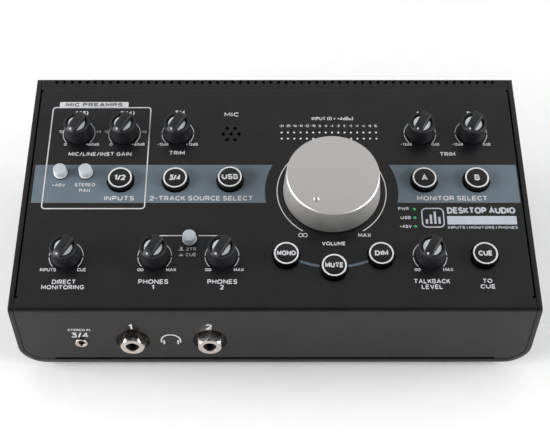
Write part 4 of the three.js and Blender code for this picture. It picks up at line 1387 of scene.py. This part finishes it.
for number, at in enumerate(combo_at, 1):
    piece(f"input_socket_{number}", "chassis", laid(combo_socket(), at), REAR,
          [f"combo_jack_{number}"])

# %% Data and power sockets
usb_shell = flat([bar(0, 0, 12, 10.9, 0.8), rounded([
    (-4.2, -3.9), (4.2, -3.9), (4.2, 2.2), (2.6, 3.8), (-2.6, 3.8), (-4.2, 2.2)])], -15.5, 0.8, 0.15)
usb_tongue = prism(bar(0, -0.2, 5.4, 3.1, 0.2), -9, -0.6)
usb_floor = prism(bar(0, 0, 11.5, 10.4), -15.9, -8.8)
parts = [(usb_shell, NICKEL), (usb_tongue, PALE_PLASTIC), (usb_floor, BLACK_PLASTIC)]
piece("usb_port", "chassis", laid(parts, usb_at), REAR, ["usb_socket"])

dc_shell = flat([bar(0, 0, 9.4, 11.2, 1.0), circle(0, 0, 3.2, 48)], -13.5, 0.8, 0.2)
dc_floor = prism(bar(0, 0, 9, 10.8), -13.9, -10)
dc_pin = lathe(rounded([(0, -10), (1.0, -10), (1.0, -0.4, 0.4), (0, -0.4)], closed=False), 32)
parts = one_finish(BLACK_PLASTIC, dc_shell, dc_floor) + [(dc_pin, NICKEL)]
piece("power_inlet", "chassis", laid(parts, dc_at), REAR, ["dc_inlet"])

# %% Power switch
bezel = flat([bar(0, 0, 13, 19, 1.2), bar(0, 0, 9.2, 14.2, 0.5)], 0.3, 1.6, 0.3)
housing = flat([bar(0, 0, 11.2, 17.2, 0.4), bar(0, 0, 9.2, 14.2, 0.4)], -15.5, 0.6)
housing_floor = prism(bar(0, 0, 11, 17), -16, -5)
parts = laid(one_finish(BLACK_PLASTIC, bezel, housing, housing_floor), power_at)
piece("power_switch_frame", "chassis", parts, REAR, ["power_switch_housing"])

ROCKER_REACH, ROCKER_HALF, ROCKER_TILT = 6.4, 4.15, math.radians(10)
rocker_line = rounded([
    (-ROCKER_REACH, -2.4), (ROCKER_REACH, -2.4), (ROCKER_REACH, 1.6, 0.5), (0, 0.7, 8),
    (-ROCKER_REACH, 1.6, 0.5),
], steps=6)
rocker = loft([[(x, y, z) for y, z in rocker_line] for x in (-ROCKER_HALF, ROCKER_HALF)])
mark_on = prism(bar(0, 3.9, 0.5, 2.4), 1.0, 1.36)
mark_off = shifted(flat([circle(0, 0, 1.2, 28), circle(0, 0, 0.8, 28)], 0, 0.34), 0, -3.9, 1.02)
pivot = joint_foot("power_rock", REAR)
place = Matrix.Translation(pivot) @ Matrix.Rotation(ROCKER_TILT, 4, "X")
parts = [(rocker, BLACK_PLASTIC)] + one_finish(WHITE_INK, mark_on, mark_off)
piece("power_rocker_moulding", "power_rocker", placed(parts, place), REAR, ["power_rocker"])

# %% [markdown]
# ## Screws
#
# The rear panel, the rear lip and the bottom are held by small pan-head screws. They sit on
# regular rows, so the same grid tree repeats one head along each row.

# %% Rows of screws
small_head = moved(lathe(SCREW_HEAD, 32), Matrix.Scale(0.9, 4))
LIP_PROUD = (cover_high.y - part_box("rear_panel")[1].y) / MM
low_row = shifted(on_grid(small_head, 4, 1, 88, 1, STEEL), 0, rear_low.y + 6, 0.02)
lip_row = shifted(on_grid(small_head, 3, 1, 124, 1, STEEL), 0, rear_high.y - 4.5, LIP_PROUD)
piece("rear_screws", "chassis", one_finish(STEEL, low_row, lip_row), REAR)
base_grid = shifted(on_grid(small_head, 3, 2, 100, 118, STEEL), 0, feet_centre.y)
piece("base_screws", "chassis", [(base_grid, STEEL)], UNDER)

# %% Finishes for the inner pieces that stay as they are
INNER = {"main_board": BOARD_GREEN, "talkback_mic": MIC_FELT, "volume_pot": STEEL}
INNER.update({name.replace("knob", "pot"): STEEL for name in SMALL_KNOBS})
for name, finish in INNER.items():
    mesh = frame["nodes"][name].data
    mesh.materials.clear()
    mesh.materials.append(finish)
print("inner pieces finished:", len(INNER))

# %% [markdown]
# ## The floor
#
# A wide pale floor takes the soft shadow. It belongs to the stage and not to the object.

# %% Floor
FLOOR_HALF, FLOOR_DROP = 3.0, 0.0002
floor_mesh = bpy.data.meshes.new("floor")
floor_corners = [(FLOOR_HALF * x, FLOOR_HALF * y, -FLOOR_DROP)
                 for x, y in ((-1, -1), (1, -1), (1, 1), (-1, 1))]
floor_mesh.from_pydata(floor_corners, [], [(0, 1, 2, 3)])
floor_mesh.materials.append(grained("pale_floor", (0.95,) * 3, (0.97,) * 3, 0.7, 2.0, 0.01))
floor = bpy.data.objects.new("floor", floor_mesh)
bpy.context.collection.objects.link(floor)
floor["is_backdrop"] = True
print("floor is", 2 * FLOOR_HALF, "m wide")

# %% Bounds of the shown object
low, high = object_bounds()
